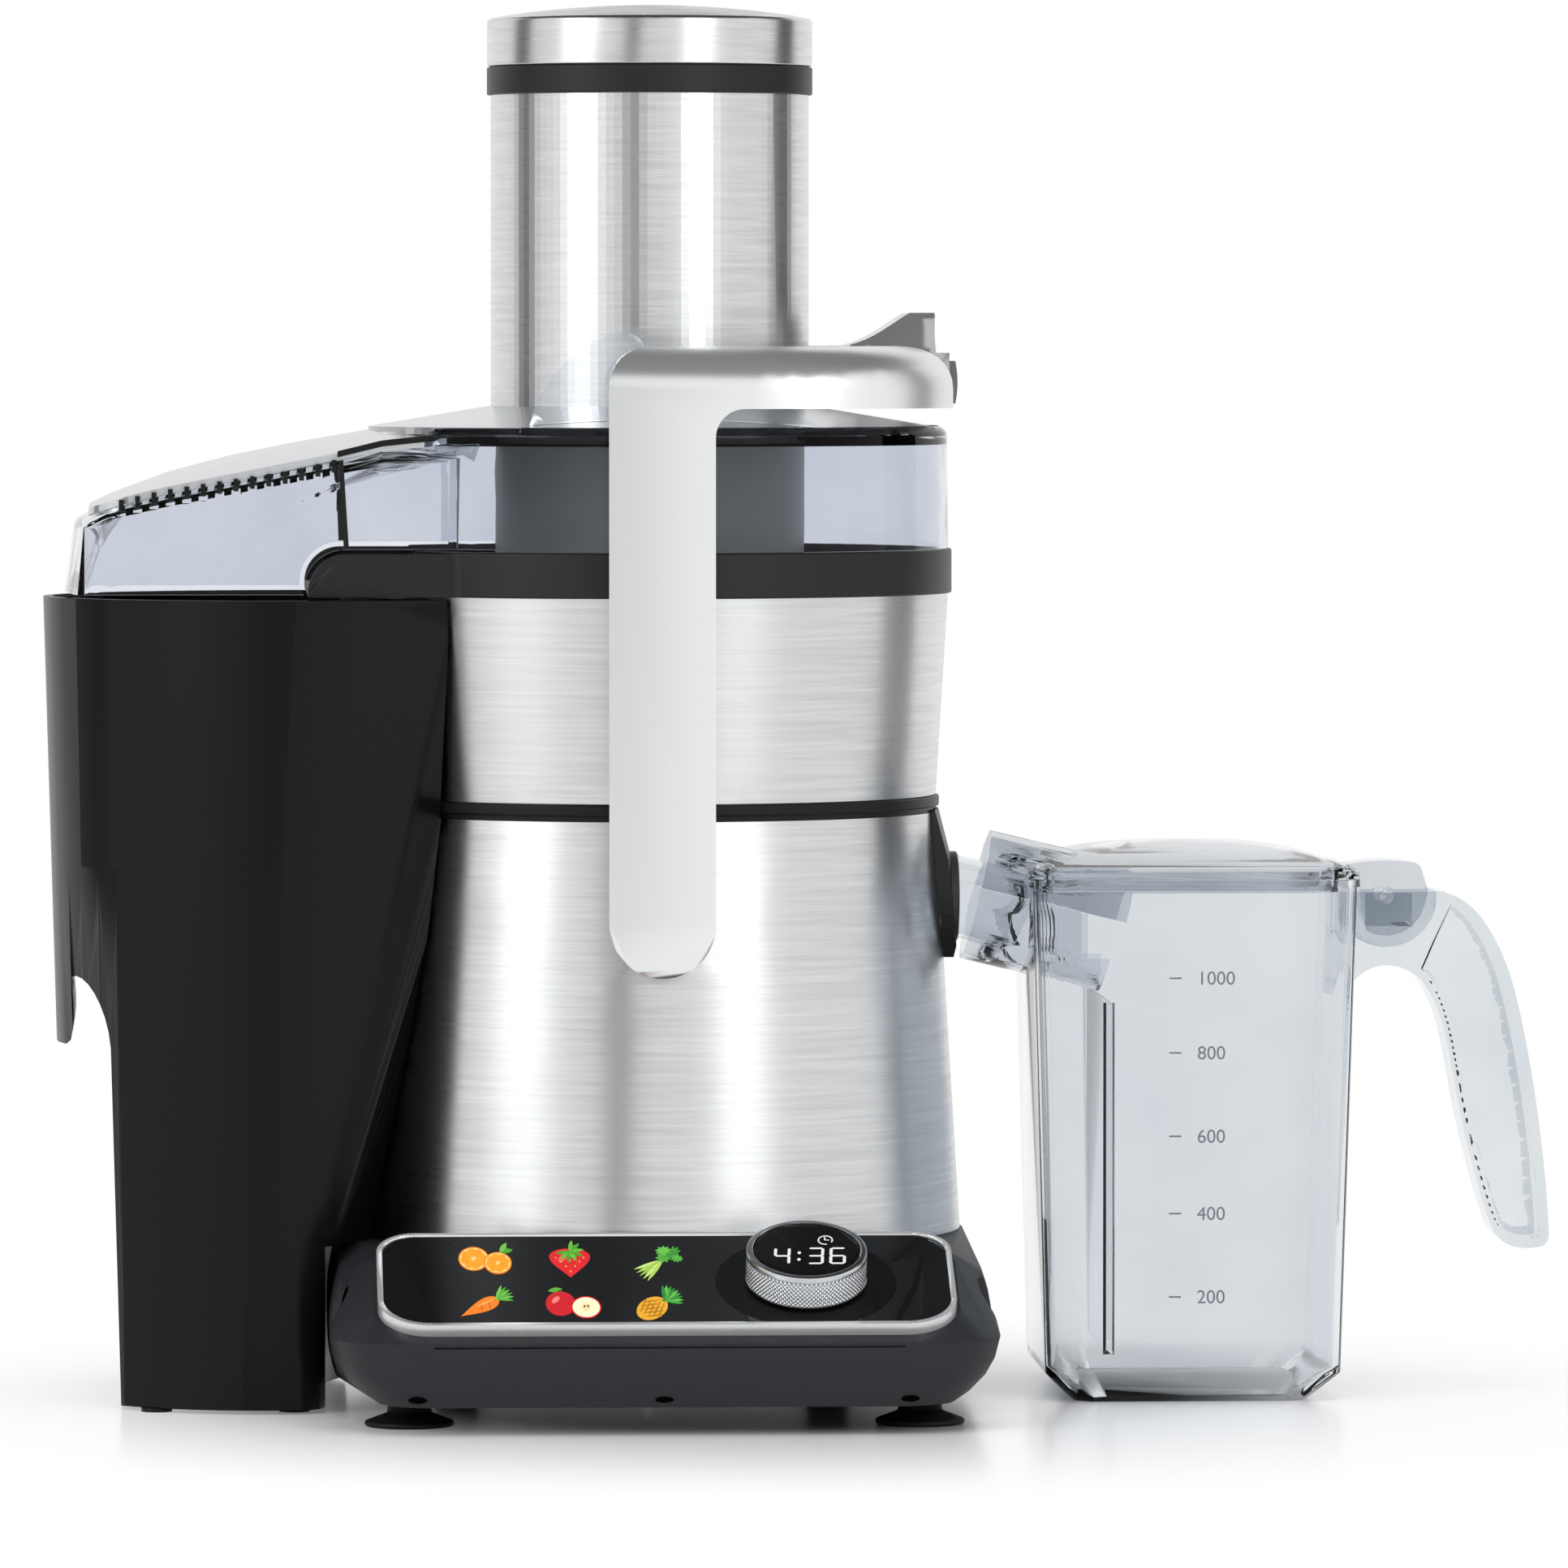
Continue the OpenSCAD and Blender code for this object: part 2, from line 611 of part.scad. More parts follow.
module pivot_pins() color("silver") at_spindle() at_pivots() {
    translate([0, 0, liner_in - 7]) cylinder(r = pivot_r, h = leg_out - 1.5 - liner_in + 7);
    translate([0, 0, liner_in - 9]) cylinder(r = pivot_r + 3, h = 3);
}

// ---------------------------------------------------------------- motor

lower_z = base_top + 2.4;
fan_z = lower_z + 10;
fan_h = 8;
coil_over = 8;
stator_z = fan_z + fan_h + coil_over + 0.6;
commutator_h = 14;
mount_h = 7;
upper_z = deck_top - deck_t - 24 - mount_h;
stator_h = upper_z - stator_z - coil_over - commutator_h - 0.6;
bearing_r = 11;
bearing_t = 7;

module stator_core() color("#6d7074") at_spindle() translate([0, 0, stator_z]) difference() {
    intersection() {
        cylinder(r = 47, h = stator_h);
        translate([-42, -47, 0]) cube([84, 94, stator_h]);
    }
    translate([0, 0, -1]) cylinder(r = 27, h = stator_h + 2);
    for (a = [0, 180]) rotate([0, 0, a]) translate([0, 0, -1])
        rotate_extrude(angle = 80, start = 50) translate([26, 0]) square([11, stator_h + 2]);
    for (p = bolt_spots) translate([p[0], p[1], -1]) cylinder(r = 2.3, h = stator_h + 2);
}

bolt_spots = [[37, 18.5], [-37, 18.5], [37, -18.5], [-37, -18.5]];

// Enamelled windings, two saddles that fill the stator's slots
module field_coils() color("#b0662e") at_spindle() for (a = [0, 180]) rotate([0, 0, a])
    translate([0, 0, stator_z - coil_over]) rotate_extrude(angle = 76, start = 52) translate([29, 0])
        square([7, stator_h + 2 * coil_over]);

module lower_bracket() color("#8b8e92") at_spindle() translate([0, 0, lower_z]) difference() {
    union() {
        cylinder(r = 16, h = 9.4);
        for (p = bolt_spots) rotate([0, 0, atan2(p[1], p[0])]) translate([0, -5, 0]) cube([47, 10, 5]);
    }
    translate([0, 0, 2]) cylinder(r = bearing_r, h = 20);
    translate([0, 0, -1]) cylinder(r = 6, h = 20);
    for (p = bolt_spots) translate([p[0], p[1], -1]) cylinder(r = 2.3, h = 20);
}

// Round casting that hangs from the deck on four rubber mounts
module upper_bracket() color("#8b8e92") at_spindle() translate([0, 0, upper_z]) difference() {
    union() {
        cylinder(r = 16, h = 11.8);
        translate([0, 0, 7]) cylinder(r = 52.5, h = 5);
    }
    translate([0, 0, -1]) cylinder(r = bearing_r, h = 10);
    translate([0, 0, -1]) cylinder(r = 6, h = 20);
    for (p = bolt_spots) translate([p[0], p[1], -1]) cylinder(r = 2.3, h = 20);
    for (a = [45:90:315]) rotate([0, 0, a]) translate([mount_r, 0, -1]) cylinder(r = 2.5, h = 20);
    // air windows
    for (a = [0:90:270]) rotate([0, 0, a]) translate([31, 0, -1]) cylinder(r = 8, h = 20);
}

module shaft_bearings() color("#a9acb0") at_spindle() {
    translate([0, 0, lower_z + 2]) tube(bearing_r - 0.02, shaft_r + 0.15, bearing_t);
    translate([0, 0, upper_z + 2]) tube(bearing_r - 0.02, shaft_r + 0.15, bearing_t);
}

module through_bolts() color("silver") at_spindle() for (p = bolt_spots) translate([p[0], p[1], 0]) {
    translate([0, 0, lower_z - 2]) cylinder(r = 2.2, h = upper_z + 14 - lower_z);
    translate([0, 0, upper_z + 12 + eps]) cylinder(r = 4, h = 3);
    translate([0, 0, lower_z + 5 + eps]) cylinder(r = 3.6, h = 4);
}

module rubber_mounts() color("#161617") at_spindle() for (a = [45:90:315]) rotate([0, 0, a])
    translate([mount_r, 0, upper_z + 12 + 0.02]) difference() {
        cylinder(r = 8, h = mount_h - 0.1);
        translate([0, 0, -1]) cylinder(r = 2.1, h = mount_h + 2);
        // waist
        translate([0, 0, mount_h / 2]) rotate_extrude() translate([9, 0]) circle(r = 2.6);
    }

module carbon_brushes() color("#3c3c3e") at_spindle() both_sides()
    translate([-4, 13.4, upper_z - 8]) cube([8, 24, 6]);

module shaft_seal() color("#141415") at_spindle() translate([0, 0, deck_top - deck_t]) rotate_extrude()
    polygon([[shaft_r + 0.5, 1.6], [shaft_r + 1.4, 1], [6, 0], [seal_r - 0.02, 0],
        [seal_r - 0.02, deck_t], [10.5, deck_t], [10.5, 2.6], [6, 2.6]]);

// ---------------------------------------------------------------- turning parts

module motor_shaft() color("#b9bcc0") at_spindle() translate([0, 0, shaft_foot])
    cylinder(r = shaft_r, h = hub_z - shaft_foot - 0.6);

// Slotted core and commutator on one sleeve
module armature() color("#a8683a") at_spindle() difference() {
    union() {
        translate([0, 0, stator_z]) cylinder(r = 26, h = stator_h);
        translate([0, 0, stator_z - coil_over]) cylinder(r = 17, h = stator_h + 2 * coil_over);
        translate([0, 0, stator_z + stator_h]) cylinder(r = 12.6, h = coil_over + commutator_h);
    }
    for (a = [0:30:330]) rotate([0, 0, a]) translate([22, -1, stator_z - 1]) cube([6, 2, stator_h + 2]);
    translate([0, 0, shaft_foot]) cylinder(r = shaft_r + 0.02, h = 200);
}

module cooling_fan() color("#38393c") at_spindle() translate([0, 0, fan_z]) difference() {
    union() {
        cylinder(r = 24, h = 1.6);
        cylinder(r = 9, h = fan_h);
        for (a = [0:30:330]) rotate([0, 0, a]) translate([8, -0.8, 0]) cube([16, 1.6, fan_h]);
    }
    translate([0, 0, -1]) cylinder(r = shaft_r + 0.02, h = 20);
}

// Six-pointed drive coupling on the shaft's end
module drive_coupling() color("#26272a") at_spindle() translate([0, 0, deck_top + 2]) difference() {
    union() {
        cylinder(r = 12, h = 4);
        for (a = [0:60:300]) rotate([0, 0, a]) translate([0, -2, 0]) cube([12, 4, hub_z - deck_top - 2.6]);
        cylinder(r = 7.5, h = hub_z - deck_top - 2.6);
    }
    translate([0, 0, -1]) cylinder(r = shaft_r + 0.02, h = 60);
}

module filter_hub() color("#303134") at_spindle() difference() {
    union() {
        translate([0, 0, hub_z]) cylinder(r = filter_foot_r, h = filter_z - hub_z);
        translate([0, 0, deck_top + 6.4]) cylinder(r = 14.6, h = hub_z - deck_top - 6.4 + eps);
    }
    translate([0, 0, deck_top]) cylinder(r = 12.2, h = hub_z - deck_top);
}

// Perforated sheet, rows of round holes
module filter_mesh() color("#c9ccd0") at_spindle() difference() {
    rotate_extrude() polygon([
        [filter_foot_r - filter_t, filter_z + 0.02], [filter_foot_r, filter_z + 0.02],
        [filter_top_r, filter_top_z], [filter_top_r - filter_t, filter_top_z]]);
    for (k = [0:2], i = [0:11]) rotate([0, 0, i * 30 + k * 10])
        translate([0, 0, filter_z + 12 + k * 13]) rotate([0, 90, 0]) cylinder(r = 1.6, h = 100, $fn = 16);
}

module filter_rim() color("#b4b7bb") at_spindle() difference() {
    translate([0, 0, filter_top_z]) rotate_extrude() polygon(concat(
        [[filter_top_r - filter_t - 0.8, 0.02], [filter_top_r + 0.6, 0.02]],
        arc([filter_top_r + rim_rad - 1.6, 2.4], 1.4, -60, 90, 6), [[filter_top_r - 1, 3.8]]));
    translate([0, 0, filter_top_z - 1]) cylinder(r = filter_top_r - filter_t - 0.8, h = 2);
}

// Grater disc with a ring of small teeth
module cutter_disc() color("#d0d2d5") at_spindle() translate([0, 0, filter_z + 0.02]) {
    cylinder(r = filter_foot_r - filter_t - 0.3, h = 1);
    cylinder(r = 9, h = disc_t);
    for (k = [0:2], i = [0:11 + k * 4]) rotate([0, 0, i * 360 / (12 + k * 4) + k * 11])
        translate([16 + k * 11, 0, 1 - eps]) cylinder(r1 = 1.6, r2 = 0.5, h = 1.4, $fn = 16);
}

// ---------------------------------------------------------------- juice bowl

module juice_bowl() color("#2d2e30") at_spindle() {
    gap = steel_t + liner_gap;
    difference() {
        rotate_extrude() polygon([
            [18, wrap_z], [wrap_r(wrap_z) - gap, wrap_z], [wrap_r(ring_z) - gap, ring_z - 0.05],
            [wrap_r(ring_z) - gap - bowl_wall, ring_z - 0.05],
            [wrap_r(wrap_z + 8) - gap - bowl_wall, wrap_z + 8], [wrap_r(wrap_z) - gap - bowl_wall - 5, wrap_z + 2.4],
            [20, wrap_z + 3.4], [20, hub_z - 1], [18, hub_z - 1]]);
        translate([cup_x, 0, 0]) cylinder(r = 8.8, h = 300);
    }
    // drain nozzle that dips into the catch cup
    translate([cup_x, 0, cup_top - 3]) tube(10.4, 8.8, wrap_z - cup_top + 3 + eps);
}

module bowl_foot_ring() color("#262728") at_spindle() translate([0, 0, deck_top]) difference() {
    rotate_extrude() polygon(concat([[76, 0.02], [bowl_foot_r + 0.4, 0.02]],
        arc([bowl_foot_r + 0.4, 0.62], 0.6, -90, 0, 4),
        arc([bowl_foot_r + 0.4, foot_ring_h - 0.7], 0.6, 0, 90, 4), [[76, foot_ring_h - 0.05]]));
    translate([cup_x, 0, -1]) cylinder(r = 12.6, h = 20);
}

module bowl_wrap() color("#c4c6c8") at_spindle() rotate_extrude() polygon([
    [bowl_foot_r - steel_t, wrap_z], [bowl_foot_r - 0.3, wrap_z], [bowl_foot_r, wrap_z + 0.3],
    [bowl_top_r, ring_z - 0.05], [bowl_top_r - steel_t, ring_z - 0.05]]);

ring_out = lid_r + 1;
ring_in = wrap_r(ring_z) - steel_t - liner_gap - bowl_wall;
lip_wall = 2.2;
lip_top = lid_z - 0.7;
lip_corner = 10.6;

// Outline of the pulp lip in the XZ plane, grown by a margin
module lip_outline(grow = 0) {
    x0 = -pulp_lip_x - grow;
    top = lip_top + grow;
    r = lip_corner + grow;
    translate([x0, ring_z]) square([pulp_lip_x - 55, top - r - ring_z]);
    translate([x0 + r, ring_z]) square([pulp_lip_x - 55, top - ring_z]);
    translate([x0 + r, top - r]) circle(r = r);
}

// Black ring on the bowl, with the lip that throws pulp into the bin
module bowl_ring() color("#242526") at_spindle() difference() {
    union() {
        translate([0, 0, ring_z]) rotate_extrude() polygon(concat(
            [[ring_in, 0], [ring_out - 0.5, 0]], arc([ring_out - 0.5, 0.5], 0.5, -90, 0, 4),
            arc([ring_out - 0.8, bowl_ring_h - 0.8 - 0.05], 0.8, 0, 90, 4), [[ring_in, bowl_ring_h - 0.05]]));
        difference() {
            intersection() {
                slab_y(-hood_half_w, hood_half_w) lip_outline();
                translate([-pulp_lip_x - 1, -hood_half_w, ring_z]) cube([pulp_lip_x + 1, 2 * hood_half_w, 30]);
            }
            translate([-pulp_lip_x - 5, -hood_half_w + lip_wall, ring_z + 2.4])
                cube([200, 2 * (hood_half_w - lip_wall), 40]);
            translate([0, 0, ring_z - 1]) cylinder(r = ring_in + 1, h = 40);
        }
    }
    translate([0, 0, ring_z - 1]) cylinder(r = ring_in, h = 40);
    // gate for the pulp, above the ring's foot
    translate([-ring_out - 2, -54, ring_z + 4.6]) cube([ring_out, 108, 40]);
}

// ---------------------------------------------------------------- lid and chute

// Stations of the hood's roof: distance left of the spindle, drop of the middle line
// below the cover's top, and how far the edges lie below the middle line
hood_roof = [[46, 3, 6.4], [80, 6.4, 6.2], [106, 10.9, 8], [125, 14.8, 7], [143, 19.6, 5], [159, 25.6, 2.6],
    [166.4, 29.2, 1.4]];
hood_end = 168.4;
end_bulge = 4.6;

module hood_station(x, z_mid, crown, half, foot) translate([x, 0, 0]) rotate([90, 0, 90]) linear_extrude(0.2)
    polygon(concat([for (t = [-1:0.25:1]) [half * t, z_mid - crown * t * t]],
        [[half, foot], [-half, foot]]));

module end_dot() translate([0, -0.1, 0]) cube([0.2, 0.2, 0.2]);

// The whole hood as a solid; drop lowers the roof, inset draws in the walls
module hood_form(drop, inset, foot = ring_z + 0.8) hull() {
    for (s = hood_roof) hood_station(-s[0], cover_top - s[1] - drop, s[2], hood_half_w - inset, foot);
    // bulging end wall, which leans in towards the top
    for (t = [-1:0.25:1]) {
        x = -hood_end - end_bulge * (1 - t * t) + inset;
        y = t * (hood_half_w - inset);
        translate([x, y, foot]) end_dot();
        translate([x + 3, y * 0.998, cover_top - 32.4 - drop]) end_dot();
        translate([x + 4, y * 0.99, cover_top - 30.8 - drop]) end_dot();
    }
}

function cone_z(r, drop) = cover_top - drop - (r - sleeve_r) * cover_rise / (cover_r - sleeve_r);

// The cover's cone as a solid, from the table side up to its top face less drop
module cover_cone(drop, r = cover_r) rotate_extrude() polygon([[0, lid_z], [r, lid_z], [r, cone_z(r, drop)],
    [sleeve_r, cover_top - drop], [0, cover_top - drop]]);

lid_drop = cover_t + 0.1;

module clear_lid() color("#b9c2d6", 0.4) at_spindle() difference() {
    union() {
        // round part: wall, rounded shoulder, channel for the trim, sloping top
        rotate_extrude() polygon(concat(
            [[lid_r - lid_wall, lid_z], [lid_r, lid_z], [lid_r - 0.4, lid_top - 3]],
            arc([lid_r - 3.4, lid_top - 3], 3, 0, 70, 6),
            [[cover_r + trim_w + 0.2, lid_top], [cover_r + trim_w + 0.2, lid_top - 2.6],
             [cover_r, lid_top - 2.6], [cover_r - 0.3, cone_z(cover_r, lid_drop)],
             [sleeve_r, cover_top - lid_drop], [chute_out + fit, cover_top - lid_drop],
             [chute_out + fit, cover_top - lid_drop - lid_wall], [cover_r - 2, cone_z(cover_r, lid_drop + lid_wall)],
             [lid_r - lid_wall - 0.4, lid_top - 5.4]]));
        difference() {
            hood_form(lid_drop, 0);
            // stays out of the round part
            translate([0, 0, ring_z]) cylinder(r = lid_r - lid_wall, h = 100);
            cover_cone(lid_drop + lid_wall, lid_r);
        }
    }
    // the cover's tongue passes over the round shoulder
    difference() {
        translate([-115, -cover_half - 0.1, lid_top - 9]) cube([60, 2 * cover_half + 0.2, 20]);
        hood_form(lid_drop - 0.05, -1, ring_z);
        cover_cone(lid_drop - 0.05, cover_r - 1.2);
    }
    // hollow of the hood, and the gate for the pulp
    hood_form(lid_drop + lid_wall, lid_wall, ring_z);
    // notch over the pulp lip
    slab_y(-100, 100) lip_outline(1.4);
    translate([0, 0, 0]) cylinder(r = ring_out + 0.3, h = lid_z);
    // vent slots along both edges of the roof
    both_sides() for (i = [0:vent_n - 1]) vent_slot(i, vent_w, vent_l, 6);
}

vent_n = 14;
vent_x0 = 94;
vent_pitch = 4.75;
vent_w = 2.6;
vent_l = 7;
vent_y = hood_half_w - 5.6;

// Height of the clear roof's edge at a distance left of the spindle
function roof_edge(x) = cover_top - lid_drop - lookup(x, [for (s = hood_roof) [s[0], s[1] + s[2]]]);

module vent_slot(i, w, l, h) {
    x = vent_x0 + i * vent_pitch;
    translate([-x - w / 2, vent_y - l / 2, roof_edge(x) - h / 2 + 1]) cube([w, l, h]);
}

// Plan of the cover's tongue over the hood
module tongue_plan() {
    translate([-hood_end + 3 + 12, -cover_half]) square([hood_end - 15, 2 * cover_half]);
    translate([-hood_end + 3, -cover_half + 12]) square([hood_end - 3, 2 * cover_half - 24]);
    for (s = [-1, 1]) translate([-hood_end + 15, s * (cover_half - 12)]) circle(r = 12);
}

cover_half = hood_half_w - 10;

module lid_cover() color("#c9ccd1") at_spindle() {
    difference() {
        intersection() {
            hood_form(0, 0);
            linear_extrude(400) tongue_plan();
        }
        hood_form(cover_t, -1, ring_z);
        cylinder(r = cover_r - 1, h = 400);
    }
    // round middle, which slopes away from the chute
    rotate_extrude() polygon([[sleeve_r + fit, cone_z(sleeve_r + fit, cover_t)], [cover_r, cone_z(cover_r, cover_t)],
        [cover_r, cone_z(cover_r, 0)], [sleeve_r + fit, cone_z(sleeve_r + fit, 0)]]);
}

module lid_trim() color("#121213") at_spindle() rotate_extrude(angle = 236, start = -118)
    polygon([[cover_r + 0.1, lid_top - 2.5], [cover_r + trim_w, lid_top - 2.5],
        [cover_r + trim_w, lid_top + 0.1], [cover_r + 0.1, lid_top + 0.1]]);

// Dark combs that stand in the vent slots
module vent_grilles() color("#3f4246") at_spindle() both_sides() for (i = [0:vent_n - 1])
    vent_slot(i, vent_w - 1.2, vent_l - 0.02, 3.6);

guard_y = 69;
guard_t = 2.2;

// Clear ribs beside the chute that lead the arm over the lid
module fin_guards() color("#c3c8d2", 0.5) at_spindle() both_sides() difference() {
    slab_y(-guard_y - guard_t / 2, -guard_y + guard_t / 2) polygon(concat(
        [[-38.2, lid_top - 6]],
        [[-38.2, lid_top - 1]],
        bezier([[-38.2, lid_top - 1], [-34.5, lid_top + 14], [-22, lid_top + 27.4], [-9.5, lid_top + 27.4]]),
        bezier([[-9.5, lid_top + 27.4], [-6, lid_top + 27.2], [-4.4, lid_top + 25], [-4, lid_top + 22]], 5),
        bezier([[-4, lid_top + 22], [-2, lid_top + 14], [20, lid_top + 12], [38, lid_top + 4.6]]),
        [[49.8, lid_top - 1], [49.8, lid_top - 6]]));
    translate([0, 0, fit / 2]) cover_cone(0);
    translate([0, 0, lid_z]) cylinder(r = cover_r + 0.1, h = lid_h - 3);
    cylinder(r = 500, h = lid_top + 0.15);
}

module feed_chute() color("#5a5d61") at_spindle() translate([0, 0, disc_top + chute_gap])
    tube(chute_out, chute_in, rim_top - 2 - disc_top - chute_gap);

module chute_sleeve() color("#c4c6c8") at_spindle() translate([0, 0, cover_top - cover_t])
    tube(sleeve_r, sleeve_r - steel_t, sleeve_h + cover_t - 0.05);

module chute_rim() color("#1c1d1e") at_spindle() translate([0, 0, sleeve_top]) rotate_extrude() polygon(concat(
    [[chute_out + 0.1, 0], [rim_r - 0.5, 0]], arc([rim_r - 0.5, 0.5], 0.5, -90, 0, 4),
    arc([rim_r - 0.5, rim_h - 0.5], 0.5, 0, 90, 4),
    [[chute_in, rim_h], [chute_in, rim_h - 1.95], [chute_out + 0.1, rim_h - 1.95]]));

// ---------------------------------------------------------------- pusher

// Hollow plug, closed below, with a disc on top that carries the steel cap
module pusher_body() color("#3a3c3f") at_spindle() difference() {
    union() {
        translate([0, 0, cap_z - pusher_l]) cylinder(r = pusher_r, h = pusher_l + 2);
        translate([0, 0, cap_z]) cylinder(r = cap_r - steel_t - 0.1, h = cap_h - steel_t - 1);
    }
    translate([0, 0, cap_z - pusher_l + 2.4]) cylinder(r = pusher_r - 2.4, h = pusher_l - 4.4);
}

dome_r = (cap_r * cap_r + cap_dome * cap_dome) / (2 * cap_dome);

// Spun steel skin with a shallow dome
module pusher_cap() color("#cfd1d3") at_spindle() translate([0, 0, cap_z]) difference() {
    rotate_extrude() polygon(concat([[0, 0], [cap_r - 0.3, 0], [cap_r, 0.3]],
        arc([cap_r - 1.3, cap_h - 1.3], 1.3, 0, 80, 5),
        [for (i = [1:10]) let (r = (cap_r - 1.4) * (1 - i / 10))
            [r, cap_h + cap_dome - (dome_r - sqrt(dome_r * dome_r - r * r))]]));
    translate([0, 0, -1]) cylinder(r = cap_r - steel_t, h = cap_h - steel_t + 0.1);
}

// ---------------------------------------------------------------- locking arm

// Section of the hoop, measured inward from its outer wall and up from its foot
module hoop_section() polygon(concat(
    [[0, 0], [0, hoop_h * 0.3]],
    bezier([[0, hoop_h * 0.3], [0, hoop_h * 0.72], [6, hoop_h], [16, hoop_h]]),
    [[hoop_lip, hoop_h], [hoop_lip, hoop_h - leg_t]],
    bezier([[hoop_lip, hoop_h - leg_t], [11, hoop_h - leg_t], [leg_t, hoop_h * 0.62], [leg_t, hoop_h * 0.2]]),
    [[leg_t, 0]]));

// All that lies inside the hoop's outer face, down past the pivots
module hoop_room() polygon(concat(
    [[0, -hoop_z], [0, hoop_h * 0.3]],
    bezier([[0, hoop_h * 0.3], [0, hoop_h * 0.72], [6, hoop_h], [16, hoop_h]]),
    [[hoop_lip, hoop_h], [hoop_lip, -hoop_z]]));

// Side view of a leg with its share of the hoop
module leg_outline() {
    w = leg_w / 2;
    translate([0, pivot_z]) circle(r = w);
    translate([-w, pivot_z]) square([leg_w, hoop_z + 1 - pivot_z]);
    translate([-w, hoop_z]) square([leg_w, hoop_h - arm_corner]);
    translate([arm_corner - w, hoop_z]) square([bend_x + w - arm_corner, hoop_h]);
    translate([arm_corner - w, hoop_top - arm_corner]) circle(r = arm_corner);
    // fillet under the hoop
    difference() {
        translate([w - 1, hoop_z - arm_fillet]) square([arm_fillet + 1, arm_fillet + 1]);
        translate([w + arm_fillet, hoop_z - arm_fillet]) circle(r = arm_fillet);
    }
}

// Outline of the thumb rest in the XZ plane
module thumb_outline() {
    x = hoop_reach - 4;
    polygon(concat([[x - 26, hoop_top - 1]],
        bezier([[x - 26, hoop_top + 0.2], [x - 18, hoop_top + 2], [x - 14, hoop_top + 6], [x - 7.6, hoop_top + 9.8]]),
        [[x - 0.4, hoop_top + 9.8], [x, hoop_top + 9.2]],
        bezier([[x, hoop_top + 9.2], [x - 0.6, hoop_top + 2], [x + 0.2, hoop_top - 6], [x + 3.6, hoop_z + 4]]),
        [[x + 4, hoop_z + 3], [x, hoop_z + 3], [x, hoop_top - 3], [x - 17, hoop_top - 3]]));
}

thumb_w = 34;

module locking_arm() color("#d9dadb") at_spindle() difference() {
    union() {
        both_sides() intersection() {
            union() {
                intersection() {
                    slab_y(-leg_out, -leg_in) leg_outline();
                    translate([-leg_w, -leg_out, hoop_z]) rotate([90, 0, 90])
                        linear_extrude(leg_w + bend_x) hoop_room();
                }
                translate([-leg_w / 2, -leg_out, hoop_z]) rotate([90, 0, 90])
                    linear_extrude(leg_w / 2 + bend_x) hoop_section();
            }
            slab_y(-leg_out - 1, 0) leg_outline();
        }
        both_sides() translate([bend_x, -bend_y, hoop_z]) mirror([0, 1, 0]) intersection() {
            rotate_extrude(angle = 90) translate([hoop_bend, 0]) mirror([1, 0]) hoop_section();
            cube([100, 100, 100]);
        }
        translate([hoop_reach, bend_y, hoop_z]) rotate([90, 0, 0])
            linear_extrude(2 * bend_y) mirror([1, 0]) hoop_section();
        slab_y(-thumb_w / 2, thumb_w / 2) thumb_outline();
        // socket of the lock button
        translate([hoop_reach - 12, -button_w / 2 - 3, hoop_z]) cube([12.6, button_w + 6, hoop_h - 2]);
    }
    // pivot bores, blind from the inside
    at_pivots() translate([0, 0, 60]) cylinder(r = pivot_r + 0.15, h = leg_out - 1.3 - 60);
    // way of the lock button and its spring
    translate([hoop_reach - 9, -button_w / 2 - play, button_z - button_h / 2 - play])
        cube([20, button_w + 2 * play, button_h + 2 * play]);
}

// Rounded push button in the end of the arm
module lock_button() color("#77797c") at_spindle() intersection() {
    translate([hoop_reach - 5, -button_w / 2, button_z - button_h / 2]) cube([5 + button_out + 0.6, button_w, button_h]);
    translate([hoop_reach + button_out + 0.6 - 30, 0, button_z]) rotate([90, 0, 0]) cylinder(r = 30, h = 40, center = true);
}

// Bent leaf spring behind the button
module latch_spring() color("silver") at_spindle() slab_y(-4, 4) translate([hoop_reach - 9, button_z])
    polygon([[0, -5], [0.5, -5.3], [3.4, 0], [0.5, 5.3], [0, 5], [2.8, 0]]);

// ---------------------------------------------------------------- pulp bin

bin_top = ring_z - 0.8;
bin_foot_h = 1.2;
bin_lean = 5.4;
bin_foot_lean = 7.2;
horn_r = 4;
tub_x = 20 - bin_reach;
shoulder_x = housing_foot_r + 14.2;

// One level of the bin: a round outer end, round shoulders and two horns that touch the body.
// shoulder = [distance from the spindle, radius], horn = [distance left, distance to the side]
module bin_slice(z, reach, half, end_r, shoulder, horn, t = 0.2) translate([0, 0, z]) linear_extrude(t)
    for (s = [-1, 1]) {
        translate([end_r - reach, s * (half - end_r)]) intersection() {
            circle(r = end_r);
            translate([-end_r, -end_r]) square([end_r, 2 * end_r]);
        }
        translate([-shoulder[0], s * (half - shoulder[1])]) circle(r = shoulder[1]);
        translate([2 - horn[0], s * (horn[1] - horn_r)]) circle(r = horn_r);
    }

